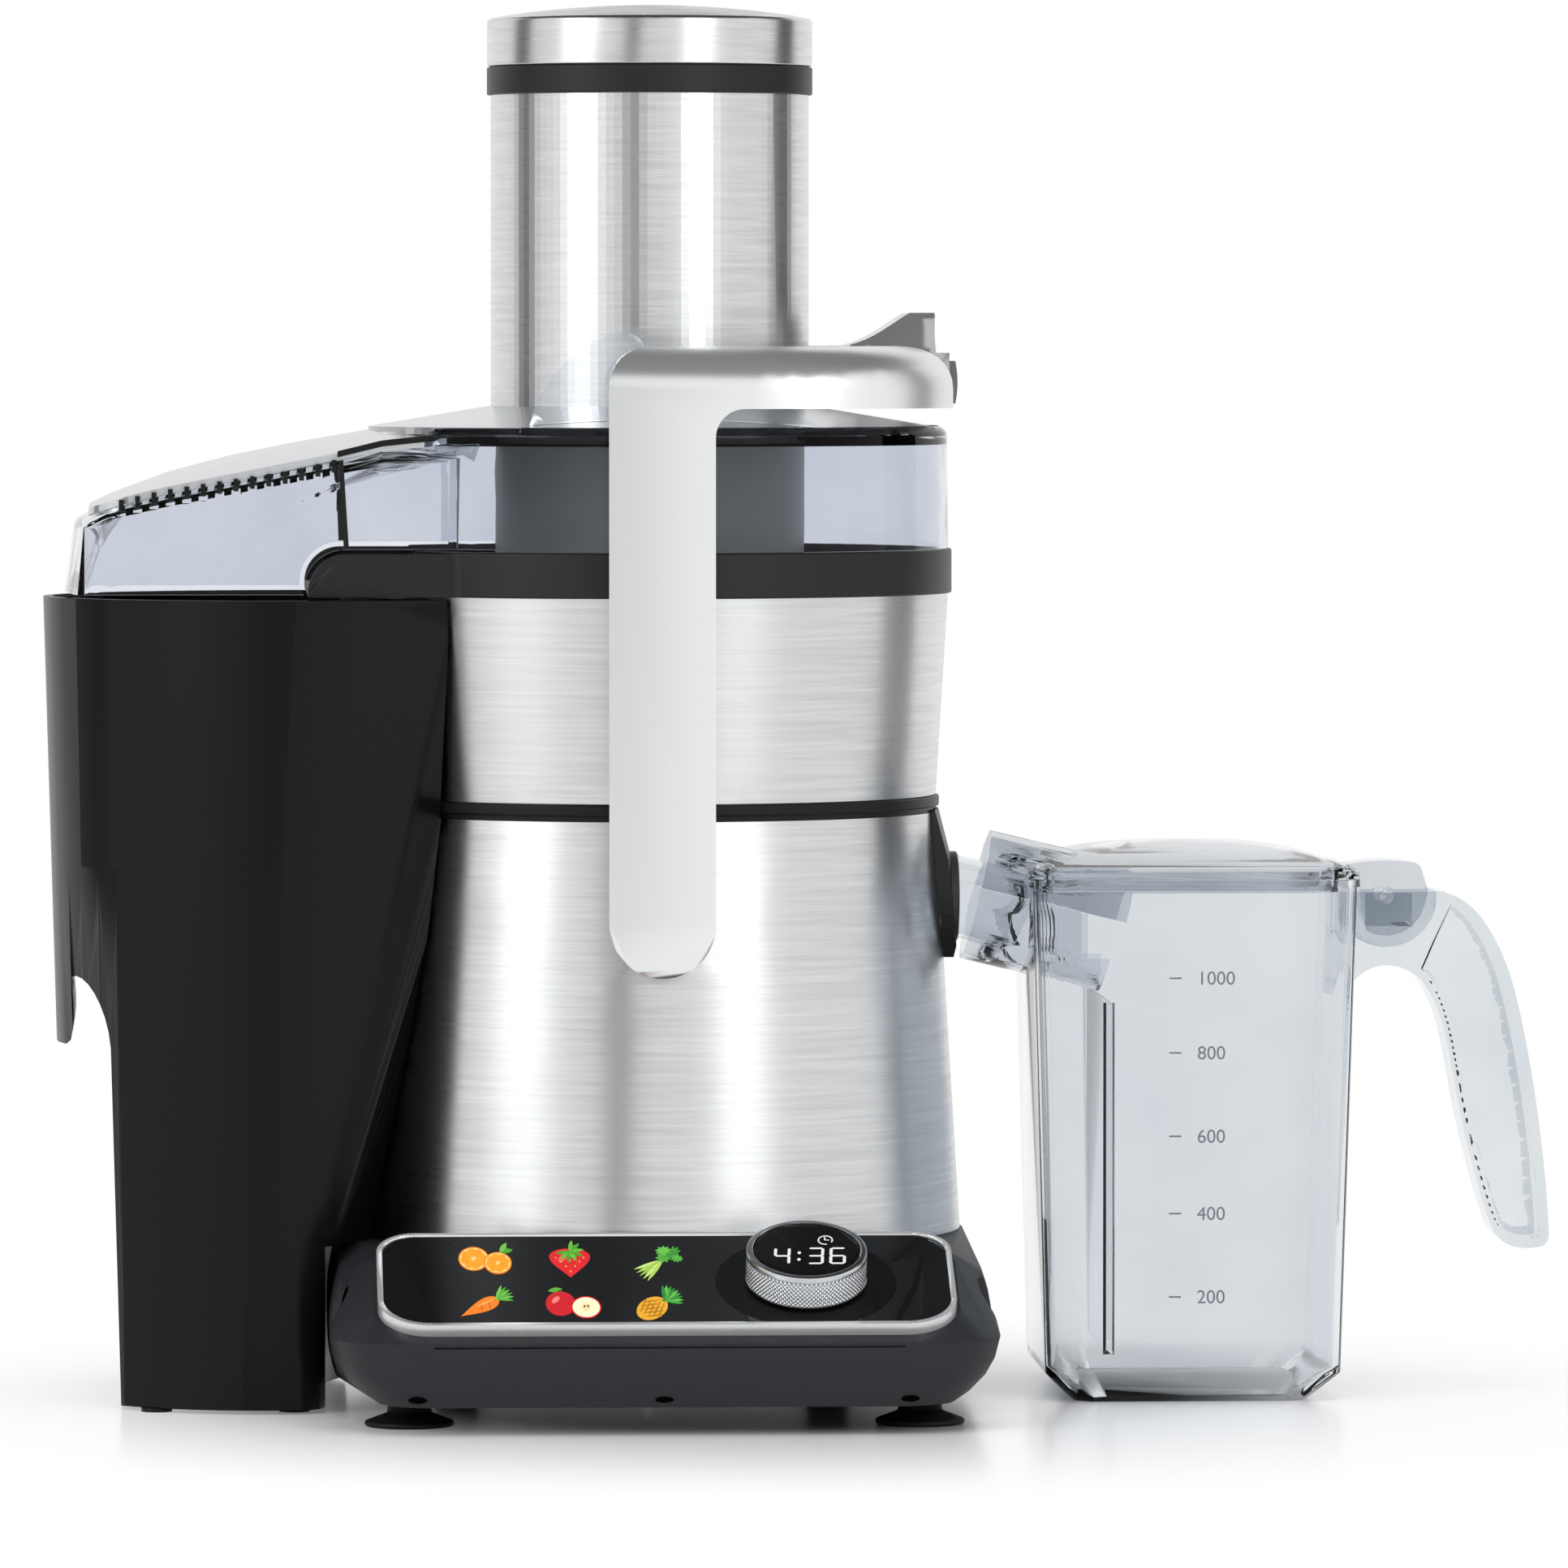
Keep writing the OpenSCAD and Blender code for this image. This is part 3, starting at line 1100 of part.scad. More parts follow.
// The bin without its finger room; inset draws in its walls and foot_z is its lowest level
module bin_form(inset, foot_z, rim_t = 0.2) {
    r = bin_reach - inset;
    w = bin_half_w - inset;
    hull($fn = 48) {
        bin_slice(bin_top - 0.2, r, w, w, [bin_reach - bin_half_w, w], [62.1, 64 - inset], rim_t);
        bin_slice(housing_top - 14.4, r - 2.3, w, 68, [housing_foot_r + 17.7, 64], [66, 55.8 - inset]);
        bin_slice(base_top + 2.5, r - bin_lean, w - 0.4, 62, [shoulder_x, 14], [housing_foot_r - 6.2, 35.5 - inset]);
    }
    hull($fn = 48) {
        bin_slice(base_top + 2.5, r - bin_lean, w - 0.4, 62, [shoulder_x, 14], [housing_foot_r - 6.2, 35.5 - inset]);
        bin_slice(foot_z, r - bin_foot_lean, w - 0.6, 58, [shoulder_x + inset, 8],
            [housing_foot_r + 3.2, 35.5 - inset]);
    }
}

// Everything that the bin leaves room for: the housing, the bowl and the base
module body_room(gap) {
    r_top = housing_top_r + 0.6 + gap;
    translate([0, 0, base_top]) cylinder(r1 = housing_foot_r + gap, r2 = r_top, h = housing_h);
    translate([0, 0, housing_top - eps]) cylinder(r1 = r_top, r2 = r_top + 0.7, h = 5);
    translate([0, 0, housing_top + 5 - 2 * eps])
        cylinder(r1 = r_top + 0.7, r2 = bowl_top_r + gap, h = ring_z - housing_top - 5);
    translate([0, 0, ring_z - eps]) cylinder(r = bowl_top_r + gap, h = 20);
    translate([0, 0, -1]) linear_extrude(base_top + 1 + eps) {
        base_plan(base_half_w + gap, base_front + gap, 29);
        circle(r = housing_foot_r + 0.8 + gap);
    }
}

// Room for the fingers behind the lip and below it, in the XZ plane
module finger_gap() {
    x = -bin_reach;
    polygon(concat([[tub_x + 3, -5], [tub_x, lip_z]],
        bezier([[tub_x, lip_z], [tub_x - 1, grip_z], [tub_x - 8, grip_z + 10], [x + 8.3, grip_z + 7]]),
        bezier([[x + 8.3, grip_z + 7], [x + 9.3, grip_z - 2], [x + 9.6, lip_z + 7], [x + 8.2, lip_z + 1.4]], 5),
        [[x + 6.9, lip_z], [x - 20, lip_z], [x - 20, -5]]));
}

module pulp_bin() color("#1b1c1e") at_spindle() difference() {
    bin_form(0, bin_foot_h);
    slab_y(-200, 200) finger_gap();
    difference() {
        bin_form(bin_wall, bin_foot_h + bin_wall, 4);
        body_room(bin_gap + bin_wall);
        slab_y(-200, 200) offset(delta = bin_wall) finger_gap();
    }
    body_room(bin_gap);
}

module bin_feet() color("#131314") at_spindle()
    for (p = [[-146, 60], [-106, 62]], s = [-1, 1]) translate([p[0], s * p[1], 0])
        cylinder(r = 4.5, h = bin_foot_h);

// ---------------------------------------------------------------- juice jug

jug_bevel = 8;
jug_mid = (jug_left + jug_right) / 2;
rim_h_jug = 2.2;

module jug_slice(z, cut_l, cut_r, cut_d, r, t = 0.2) translate([jug_mid + (cut_l - cut_r) / 2, 0, z])
    linear_extrude(t) round_rect(jug_w - cut_l - cut_r, 2 * (jug_half_d - cut_d), r);

// The jug as a solid: bevelled foot and walls that lean out
module jug_form(inset, z0) hull($fn = 40) {
    jug_slice(z0, 12 + inset, 14.6 + inset, 6 + inset, 8);
    jug_slice(jug_bevel + z0, 4 + inset, 4.6 + inset, 1.6 + inset, 11);
    jug_slice(jug_top - 0.2 - z0, inset, inset, inset, 11.5, 0.2 + 2 * z0);
}

// Section of a gutter across the line of the spout: round below, straight sides up to a height
module gutter(r, up) {
    circle(r = r);
    translate([-up, -r]) square([up, 2 * r]);
}

inlet_wall = 1.4;
inlet_s = 5.2;
inlet_up = 4.2;
hood_up = 3.2;
hood_r = inlet_r + 1.9;

// Places a gutter's section on the line of the spout, at a distance from the collar
module on_inlet(s) translate([collar_x, 0, spout_z]) rotate([0, 90 + spout_fall, 0]) translate([0, 0, s]) children();

module jug_body() color("#d3dadf", 0.4) at_spindle() difference() {
    union() {
        difference() {
            union() {
                jug_form(0, 0);
                translate([jug_mid, 0, jug_top - rim_h_jug]) linear_extrude(rim_h_jug)
                    round_rect(jug_w + 1.6, 2 * jug_half_d + 1.6, 12.3);
            }
            jug_form(jug_wall, jug_wall);
        }
        // inlet gutter, outside and inside the wall
        on_inlet(inlet_s) linear_extrude(42) difference() {
            gutter(inlet_r + inlet_wall, inlet_up);
            gutter(inlet_r, 60);
        }
    }
    // way of the spout through the wall and the rim, and of the lid's hood above it
    on_inlet(inlet_s - 10) linear_extrude(42) {
        gutter(inlet_r, 60);
        translate([-60, -hood_r - play]) square([60 - inlet_up, 2 * (hood_r + play)]);
    }
    // the gutter's inner end is cut level
    translate([jug_left + 18, -30, spout_axis(jug_left + 18) - inlet_r * 0.55]) cube([60, 60, 60]);
}

sep_x = 132;

// Upright plate that holds back the foam
module froth_separator() color("#dce2e6", 0.4) at_spindle() {
    top = spout_axis(sep_x) - (inlet_r + inlet_wall) / cos(spout_fall) - 1.2;
    translate([sep_x, -jug_half_d + 4.4, 14]) cube([1.8, 2 * jug_half_d - 8.8, top - 14]);
    for (s = [-1, 1]) translate([sep_x + 0.9, s * (jug_half_d - 6.2), 14]) cylinder(r = 1.7, h = top - 14);
}

hinge_x = jug_right + 11.6;
hinge_z = jug_top - 6.7;
cheek_in = 8.4;

grip_steps = 16;

// Outline of the open handle in the XZ plane
module handle_outline() {
    x = jug_right;
    z = jug_top;
    polygon(concat(
        [[x - 1, z - 5.2], [x + 29, z - 5.2]],
        bezier([[x + 29, z - 5.6], [x + 36.7, z - 7.2], [x + 43.2, z - 15], [x + 48.3, z - 29.5]], grip_steps),
        bezier([[x + 48.3, z - 29.5], [x + 52.8, z - 43.2], [x + 59, z - 78], [x + 60.2, z - 107.2]], grip_steps),
        arc([x + 56.8, z - 107.6], 3.4, 5, -90, 4),
        bezier([[x + 53.5, z - 111.3], [x + 48.2, z - 111], [x + 45.2, z - 109.2], [x + 43.2, z - 105.2]], grip_steps),
        bezier([[x + 43.2, z - 105.2], [x + 39.8, z - 97.2], [x + 34, z - 75.2], [x + 31.8, z - 61]], grip_steps),
        bezier([[x + 31.8, z - 61], [x + 30, z - 52.2], [x + 28.8, z - 41.2], [x + 23.2, z - 33.2]], grip_steps),
        bezier([[x + 23.2, z - 33.2], [x + 19.2, z - 26.7], [x + 6, z - 22.4], [x - 1, z - 36]], grip_steps)));
}

// The handle's grip, on the far side of a slanted parting line, drawn in by a margin
module grip_outline(margin) difference() {
    offset(delta = -margin) handle_outline();
    translate([jug_right + 30.4 + margin, jug_top - 4]) rotate(-112.5) translate([-20, -60]) square([80, 60]);
}

// Wide bracket with a hinge fork, and an open grip with a web between two rims
module jug_handle() color("#ccd4da", 0.5) at_spindle() difference() {
    slab_y(-handle_w / 2, handle_w / 2) handle_outline();
    both_sides() slab_y(-handle_w / 2 - 1, -1.6) grip_outline(2.8);
    // room for the lid's tongue, open upward
    slab_y(-cheek_in, cheek_in) translate([hinge_x, hinge_z]) circle(r = 15);
    // pin holes
    translate([hinge_x, 50, hinge_z]) rotate([90, 0, 0]) cylinder(r = 2.1, h = 100);
    jug_form(-0.1, 0);
}

// ---------------------------------------------------------------- jug lid

lid_foot = jug_top + 0.3;
lid_plate = 2.2;
cushion_h = 7.6;
cushion_rx = (jug_w * jug_w / 4 + cushion_h * cushion_h) / (2 * cushion_h);
cushion_ry = (jug_half_d * jug_half_d + cushion_h * cushion_h) / (2 * cushion_h);

// Cushion made of two crossed barrels; less shrinks it on the inside
module lid_cushion(less) {
    z = lid_foot + lid_plate + cushion_h;
    intersection() {
        translate([jug_mid, 0, z - cushion_rx]) rotate([90, 0, 0])
            cylinder(r = cushion_rx - less, h = 2 * jug_half_d, center = true, $fn = 360);
        translate([jug_mid, 0, z - cushion_ry]) rotate([0, 90, 0])
            cylinder(r = cushion_ry - less, h = jug_w, center = true, $fn = 360);
        translate([jug_mid, 0, lid_foot]) linear_extrude(40)
            round_rect(jug_w - 2 - 2 * less, 2 * jug_half_d - 2 - 2 * less, 10);
    }
}

// Inverted gutter over the spout
module spout_hood(s, l, r, down) on_inlet(s) translate([-hood_up, 0, 0]) linear_extrude(l) difference() {
    circle(r = r);
    translate([-down, -30]) square([60, 60]);
}

module jug_lid() color("#cfd6db", 0.5) at_spindle() {
    difference() {
        union() {
            translate([jug_mid, 0, lid_foot]) linear_extrude(lid_plate)
                round_rect(jug_w + 1.2, 2 * jug_half_d + 1.2, 12.1);
            lid_cushion(0);
            // skirt inside the jug's rim
            translate([jug_mid - 1, 0, lid_foot - 4]) linear_extrude(5)
                round_rect(jug_w - 2 * jug_wall - 4, 2 * (jug_half_d - jug_wall) - 1.6, 11);
            spout_hood(inlet_s, 44, hood_r, 1.4);
        }
        // hollow under the cushion
        intersection() {
            lid_cushion(2);
            translate([jug_mid - 1, 0, lid_foot - 5]) linear_extrude(60)
                round_rect(jug_w - 2 * jug_wall - 7, 2 * (jug_half_d - jug_wall) - 5, 6);
        }
        translate([jug_mid - 1, 0, lid_foot - 5]) linear_extrude(5 + lid_plate)
            round_rect(jug_w - 2 * jug_wall - 7, 2 * (jug_half_d - jug_wall) - 5, 6);
        // bore of the hood, and the gap in the plate over the gutter
        spout_hood(inlet_s - 5, 60, hood_r - 1.8, 0.2);
        on_inlet(inlet_s - 10) linear_extrude(70) gutter(inlet_r + inlet_wall + play, inlet_up + play);
    }
    // thumb tab with a tongue between the handle's cheeks
    difference() {
        slab_y(-cheek_in + play, cheek_in - play) polygon(concat(
            [[jug_right - 2, lid_foot + 0.2], [jug_right - 2, lid_foot + lid_plate]],
            bezier([[jug_right - 2, lid_foot + lid_plate], [jug_right + 6, lid_foot + 3.8],
                [jug_right + 14, lid_foot + 4], [jug_right + 20.4, lid_foot + 3]], 6),
            [[jug_right + 22, lid_foot + 1.8], [jug_right + 24.2, lid_foot - 5.4]],
            arc([hinge_x, hinge_z], 11.8, -14, -120, 6),
            [[jug_right + 2.6, lid_foot + 0.2]]));
        slab_y(-cheek_in + play + 2, cheek_in - play - 2) translate([hinge_x + 1, hinge_z - 4])
            square([14, 10], center = true);
    }
    // hinge stubs
    both_sides() translate([hinge_x, -cheek_in + 1, hinge_z]) rotate([90, 0, 0]) cylinder(r = 1.9, h = 2.2);
}

// ---------------------------------------------------------------- output

base_shell();
base_plate();
base_screws();
foot_stems();
suction_cups();
cord_gland();
panel_frame();
panel_glass();
control_board();
rotary_encoder();
knob_ring();
start_button();
housing_shell();
housing_liner();
motor_deck();
spout_escutcheon();
spout_collar();
spout_tube();
pivot_bosses();
pivot_pins();
stator_core();
field_coils();
lower_bracket();
upper_bracket();
shaft_bearings();
through_bolts();
rubber_mounts();
carbon_brushes();
shaft_seal();
motor_shaft();
armature();
cooling_fan();
drive_coupling();
filter_hub();
filter_mesh();
filter_rim();
cutter_disc();
juice_bowl();
bowl_foot_ring();
bowl_wrap();
bowl_ring();
clear_lid();
lid_cover();
lid_trim();
vent_grilles();
fin_guards();
feed_chute();
chute_sleeve();
chute_rim();
pusher_body();
pusher_cap();
locking_arm();
lock_button();
latch_spring();
pulp_bin();
bin_feet();
jug_body();
froth_separator();
jug_handle();
jug_lid();
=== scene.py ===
import json
import math

import bmesh
import bpy
import numpy as np
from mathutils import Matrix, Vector


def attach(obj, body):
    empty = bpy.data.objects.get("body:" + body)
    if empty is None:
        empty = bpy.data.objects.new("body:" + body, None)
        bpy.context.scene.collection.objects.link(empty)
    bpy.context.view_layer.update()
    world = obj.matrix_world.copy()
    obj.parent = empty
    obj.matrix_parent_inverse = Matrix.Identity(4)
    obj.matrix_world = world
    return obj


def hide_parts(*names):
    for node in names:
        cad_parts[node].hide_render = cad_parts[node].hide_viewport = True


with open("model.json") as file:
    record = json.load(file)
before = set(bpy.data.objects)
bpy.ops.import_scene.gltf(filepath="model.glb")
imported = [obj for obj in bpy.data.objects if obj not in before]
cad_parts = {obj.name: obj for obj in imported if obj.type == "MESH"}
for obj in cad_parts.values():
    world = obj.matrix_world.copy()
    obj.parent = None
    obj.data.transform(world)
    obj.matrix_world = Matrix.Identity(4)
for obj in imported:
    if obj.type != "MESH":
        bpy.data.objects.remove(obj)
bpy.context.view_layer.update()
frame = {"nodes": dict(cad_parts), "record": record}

# ---------------------------------------------------------------- studio
# A white room with a pale floor: the camera stands 3.4 m in front at the height of the bowl, soft
# lamps hang above and beside it, and dark cards, which only reflections see, give the steel its
# bands. None of it is part of the juicer.
MM = 0.001
SPINDLE = np.array([-43.6, 25.0, 0.0])


def srgb(code):
    """Linear RGBA of an sRGB hex colour: c / 12.92 when dark, else ((c + 0.055) / 1.055) ** 2.4."""
    c = np.array([int(code[i:i + 2], 16) for i in (0, 2, 4)]) / 255
    linear = np.where(c <= 0.04045, c / 12.92, ((c + 0.055) / 1.055) ** 2.4)
    return (*linear.tolist(), 1.0)


def node(tree, kind, inputs=None, **settings):
    """Adds one shader node with its settings, and its input values or links by socket name."""
    made = tree.nodes.new(kind)
    for key, value in settings.items():
        setattr(made, key, value)
    for key, value in (inputs or {}).items():
        if isinstance(value, bpy.types.NodeSocket):
            tree.links.new(value, made.inputs[key])
        else:
            made.inputs[key].default_value = value
    return made


scene = bpy.context.scene
scene.view_settings.view_transform = "Standard"

camera_data = bpy.data.cameras.new("studio_camera")
camera_data.sensor_width = 36
camera_data.lens = 266.3
camera = bpy.data.objects.new("studio_camera", camera_data)
camera.location = (-0.1776, -3.405, 0.314)
camera.rotation_euler = (math.radians(90 - 2.236), 0, math.radians(-2.9))
scene.collection.objects.link(camera)
scene.camera = camera


def white_to_eye_and_gloss(tree):
    """1 for camera, glossy and transmission rays, 0 for the rays that light things."""
    ray = node(tree, "ShaderNodeLightPath")
    seen = node(tree, "ShaderNodeMath", {0: ray.outputs["Is Camera Ray"], 1: ray.outputs["Is Glossy Ray"]},
                operation="MAXIMUM")
    return node(tree, "ShaderNodeMath", {0: seen.outputs[0], 1: ray.outputs["Is Transmission Ray"]},
                operation="MAXIMUM").outputs[0]


world = bpy.data.worlds.new("white_room")
scene.world = world
world.use_nodes = True
room = world.node_tree
room.nodes.clear()
lamp_side = node(room, "ShaderNodeBackground", {"Color": srgb("ffffff"), "Strength": 0.5})
white_side = node(room, "ShaderNodeBackground", {"Color": srgb("ffffff"), "Strength": 1.0})
both = node(room, "ShaderNodeMixShader", {0: white_to_eye_and_gloss(room), 1: lamp_side.outputs[0],
                                          2: white_side.outputs[0]})
node(room, "ShaderNodeOutputWorld", {"Surface": both.outputs[0]})

# place in metres, side of the square in metres, watts, whether steel and gloss mirror it
for name, place, side, watts, mirrored in (
        ("overhead_softbox", (0.1, -0.4, 2.2), 1.6, 22, False),
        ("left_softbox", (-1.75, -1.25, 1.0), 0.85, 11, True),
        ("right_softbox", (1.15, -1.8, 0.9), 0.7, 8, True)):
    data = bpy.data.lights.new(name, "AREA")
    data.size = side
    data.energy = watts
    lamp = bpy.data.objects.new(name, data)
    lamp.location = place
    lamp.rotation_euler = (Vector((0, 0, 0.2)) - Vector(place)).to_track_quat("-Z", "Y").to_euler()
    lamp.visible_glossy = mirrored
    scene.collection.objects.link(lamp)


def flat_stage(name, corners, material):
    """One flat four-sided stage object."""
    mesh = bpy.data.meshes.new(name)
    mesh.from_pydata(corners, [], [(0, 1, 2, 3)])
    mesh.materials.append(material)
    obj = bpy.data.objects.new(name, mesh)
    scene.collection.objects.link(obj)
    return obj


# painted board: pale near the machine, where it takes its shadow, and pure white further off
floor_paint = bpy.data.materials.new("white_studio_floor")
floor_paint.use_nodes = True
tree = floor_paint.node_tree
tree.nodes.clear()
where = node(tree, "ShaderNodeTexCoord").outputs["Object"]
reach = node(tree, "ShaderNodeVectorMath", {0: where}, operation="LENGTH")
far = node(tree, "ShaderNodeMapRange", {"Value": reach.outputs["Value"], "From Min": 0.1, "From Max": 0.31},
           interpolation_type="SMOOTHSTEP")
paint = node(tree, "ShaderNodeBsdfPrincipled", {"Base Color": srgb("f6f7f9"), "Roughness": 0.22,
                                                 "Specular IOR Level": 0.5})
glow = node(tree, "ShaderNodeEmission", {"Color": srgb("ffffff"), "Strength": 1.0})
share = node(tree, "ShaderNodeMath", {0: far.outputs["Result"], 1: white_to_eye_and_gloss(tree)},
             operation="MULTIPLY")
mixed = node(tree, "ShaderNodeMixShader", {0: share.outputs[0], 1: paint.outputs[0], 2: glow.outputs[0]})
node(tree, "ShaderNodeOutputMaterial", {"Surface": mixed.outputs[0]})
flat_stage("studio_floor", [(-8, -8, 0), (8, -8, 0), (8, 8, 0), (-8, 8, 0)], floor_paint)

card_black = bpy.data.materials.new("dark_card")
card_black.use_nodes = True
card_black.node_tree.nodes.clear()
dark = node(card_black.node_tree, "ShaderNodeEmission", {"Color": srgb("3c3d3e"), "Strength": 1.0})
node(card_black.node_tree, "ShaderNodeOutputMaterial", {"Surface": dark.outputs[0]})
cards = [flat_stage("ceiling_card", [(-1.5, -1.6, 1.5), (-1.5, 1.4, 1.5), (1.5, 1.4, 1.5), (1.5, -1.6, 1.5)],
                    card_black)]
# bearing from the spindle, clockwise from the camera's side; distance in metres; width in degrees
for name, bearing, distance, width in (("left_card", -103, 1.5, 17), ("front_card", -14, 2.1, 10),
                                        ("right_card", 109, 1.5, 22)):
    a = math.radians(bearing)
    centre = np.array([math.sin(a), -math.cos(a)]) * distance + SPINDLE[:2] * MM
    side = np.array([math.cos(a), math.sin(a)]) * distance * math.tan(math.radians(width / 2))
    left, right = centre - side, centre + side
    cards.append(flat_stage(name, [(*left, 0.002), (*right, 0.002), (*right, 2.2), (*left, 2.2)], card_black))
for card in cards:
    card.visible_camera = False
    card.visible_diffuse = False
    card.visible_shadow = False
    card.visible_transmission = False


def body_of(name):
    """Name of the body that a CAD node rides on."""
    return next(b for b, nodes in frame["record"]["behaviour"]["bodies"].items() if name in nodes)


def finished(material, *names):
    """Gives CAD nodes their material."""
    for name in names:
        frame["nodes"][name].data.materials.clear()
        frame["nodes"][name].data.materials.append(material)


def piece(name, mesh, material, like, stands_for=()):
    """A new piece with its material, which rides with the CAD node `like`; the CAD nodes named in
    `stands_for` are hidden.
    """
    mesh.materials.append(material)
    obj = bpy.data.objects.new(name, mesh)
    scene.collection.objects.link(obj)
    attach(obj, body_of(like))
    if stands_for:
        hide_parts(*stands_for)
    return obj


def smooth(name, material, sharp=30):
    """A merged copy of a CAD node, shaded softly across edges below `sharp` degrees. Its normals are
    weighted by face size, so that wide flat faces stay flat beside their small roundings."""
    source = frame["nodes"][name]
    shape = bmesh.new()
    shape.from_mesh(source.data)
    bmesh.ops.transform(shape, matrix=source.matrix_world, verts=shape.verts)
    bmesh.ops.remove_doubles(shape, verts=shape.verts, dist=2e-6)
    bmesh.ops.dissolve_degenerate(shape, edges=shape.edges, dist=1e-7)
    mesh = bpy.data.meshes.new(name + "_skin")
    shape.to_mesh(mesh)
    shape.free()
    mesh.shade_smooth()
    mesh.set_sharp_from_angle(angle=math.radians(sharp))
    obj = piece(name + "_skin", mesh, material, name, (name,))
    even = obj.modifiers.new("even_faces", "WEIGHTED_NORMAL")
    even.keep_sharp = True
    even.mode = "FACE_AREA"


def plain(name, colour, roughness, metallic=0.0, **sockets):
    """A Principled material; sockets are further plain values by name. Returns it and its shader."""
    material = bpy.data.materials.new(name)
    material.use_nodes = True
    shader = material.node_tree.nodes["Principled BSDF"]
    values = {"Base Color": srgb(colour), "Roughness": roughness, "Metallic": metallic}
    values.update({key.replace("_", " ").title().replace("Ior", "IOR"): v for key, v in sockets.items()})
    for key, value in values.items():
        shader.inputs[key].default_value = value
    return material, shader


def varied(material, shader, colour, shade, size, amount, bump=0.0):
    """Blends the colour towards a second shade by noise of that size in mm, and adds its bump in mm."""
    tree = material.node_tree
    where = node(tree, "ShaderNodeTexCoord").outputs["Object"]
    noise = node(tree, "ShaderNodeTexNoise", {"Vector": where, "Scale": 1 / (size * MM), "Detail": 3.0})
    ramp = node(tree, "ShaderNodeMapRange", {"Value": noise.outputs["Fac"], "From Min": 0.3, "From Max": 0.7,
                                             "To Max": amount})
    mix = node(tree, "ShaderNodeMix", {"Factor": ramp.outputs["Result"], 6: srgb(colour), 7: srgb(shade)},
               data_type="RGBA")
    tree.links.new(mix.outputs[2], shader.inputs["Base Color"])
    if bump:
        bumped = node(tree, "ShaderNodeBump", {"Height": noise.outputs["Fac"], "Distance": bump * MM})
        tree.links.new(bumped.outputs["Normal"], shader.inputs["Normal"])


def moulded(name, colour, shade, roughness, size=0.6, bump=0.01, **sockets):
    """A moulded or painted face: fine grain of that size in mm and a faint change of shade."""
    material, shader = plain(name, colour, roughness, **sockets)
    varied(material, shader, colour, shade, size, 0.5, bump)
    return material


# ABS from a spark-eroded mould: a soft, wide sheen over dark grey, with grains drawn 0.6 mm wide,
# about four times the real ones, so that they show
charcoal = moulded("charcoal_abs_sparked", "2c2e31", "252629", 0.46, specular_ior_level=0.2)
# ABS from a plain mould: black with a slightly tighter sheen
black_abs = moulded("black_abs_satin", "161617", "111112", 0.4, specular_ior_level=0.2)
# soft rubber: almost no gloss, a little dusty
rubber = moulded("black_tpe_rubber", "111213", "18191a", 0.55, 0.4, 0.02, specular_ior_level=0.25)
# zinc plate: bright cool grey with a cloudy tone
zinc = moulded("zinc_plated_steel", "b4b6b8", "9c9ea1", 0.3, 0.5, 0.002, metallic=1.0)
smooth("base_shell", charcoal)
finished(black_abs, "base_plate")
finished(zinc, "base_screws")
smooth("cord_gland", rubber)

# ---------------------------------------------------------------- feet
# Four suction cups of soft rubber on short black stems, which screw into the base and hold the
# machine still on a worktop.
smooth("foot_stems", black_abs)
smooth("suction_cups", rubber)

# ---------------------------------------------------------------- control desk
# A sloping desk: a bright die-cast rim holds a sheet of smoked glass with six printed fruit and
# vegetable fields. The board behind it reads the touch of a finger through the glass.
DESK = {"y": -117.5, "z": 42.9, "tilt": math.radians(24.6), "glass": -0.3}


def on_desk(u, v, w):
    """World place of desk coordinates in mm: u to the right, v up the slope, w out of the glass."""
    c, s = math.cos(DESK["tilt"]), math.sin(DESK["tilt"])
    u, v, w = np.broadcast_arrays(u, v, w)
    return (np.stack([u, DESK["y"] + v * c - w * s, DESK["z"] + v * s + w * c], -1) + SPINDLE) * MM


def printed(name, shapes, place, like, material, depth=0.05, colours=()):
    """Flat printed shapes, each an outline (n, 2) in mm and a layer. Every shape is a thin prism: its
    top stands a layer above the face, its foot lies just under the face, and side faces join them.
    `place` turns (u, v, w) to world metres. Colours, one a shape, go to the attribute ink."""
    verts, faces, start = [], [], 0
    for drawn, layer in shapes:
        n = len(drawn)
        verts.append(place(drawn[:, 0], drawn[:, 1], depth * (1 + layer)))
        verts.append(place(drawn[:, 0], drawn[:, 1], -depth))
        i = np.arange(n)
        j = (i + 1) % n
        faces.append(tuple((start + i).tolist()))
        faces.append(tuple((start + n + i[::-1]).tolist()))
        faces += [tuple(q) for q in (start + np.stack([i, i + n, j + n, j], 1)).tolist()]
        start += 2 * n
    mesh = bpy.data.meshes.new(name)
    mesh.from_pydata(np.concatenate(verts).tolist(), [], faces)
    if colours:
        inks = [np.tile(srgb(colour), (2 * len(drawn), 1)) for (drawn, _), colour in zip(shapes, colours)]
        ink = mesh.attributes.new("ink", "FLOAT_COLOR", "POINT")
        ink.data.foreach_set("color", np.concatenate(inks).ravel())
    piece(name, mesh, material, like)


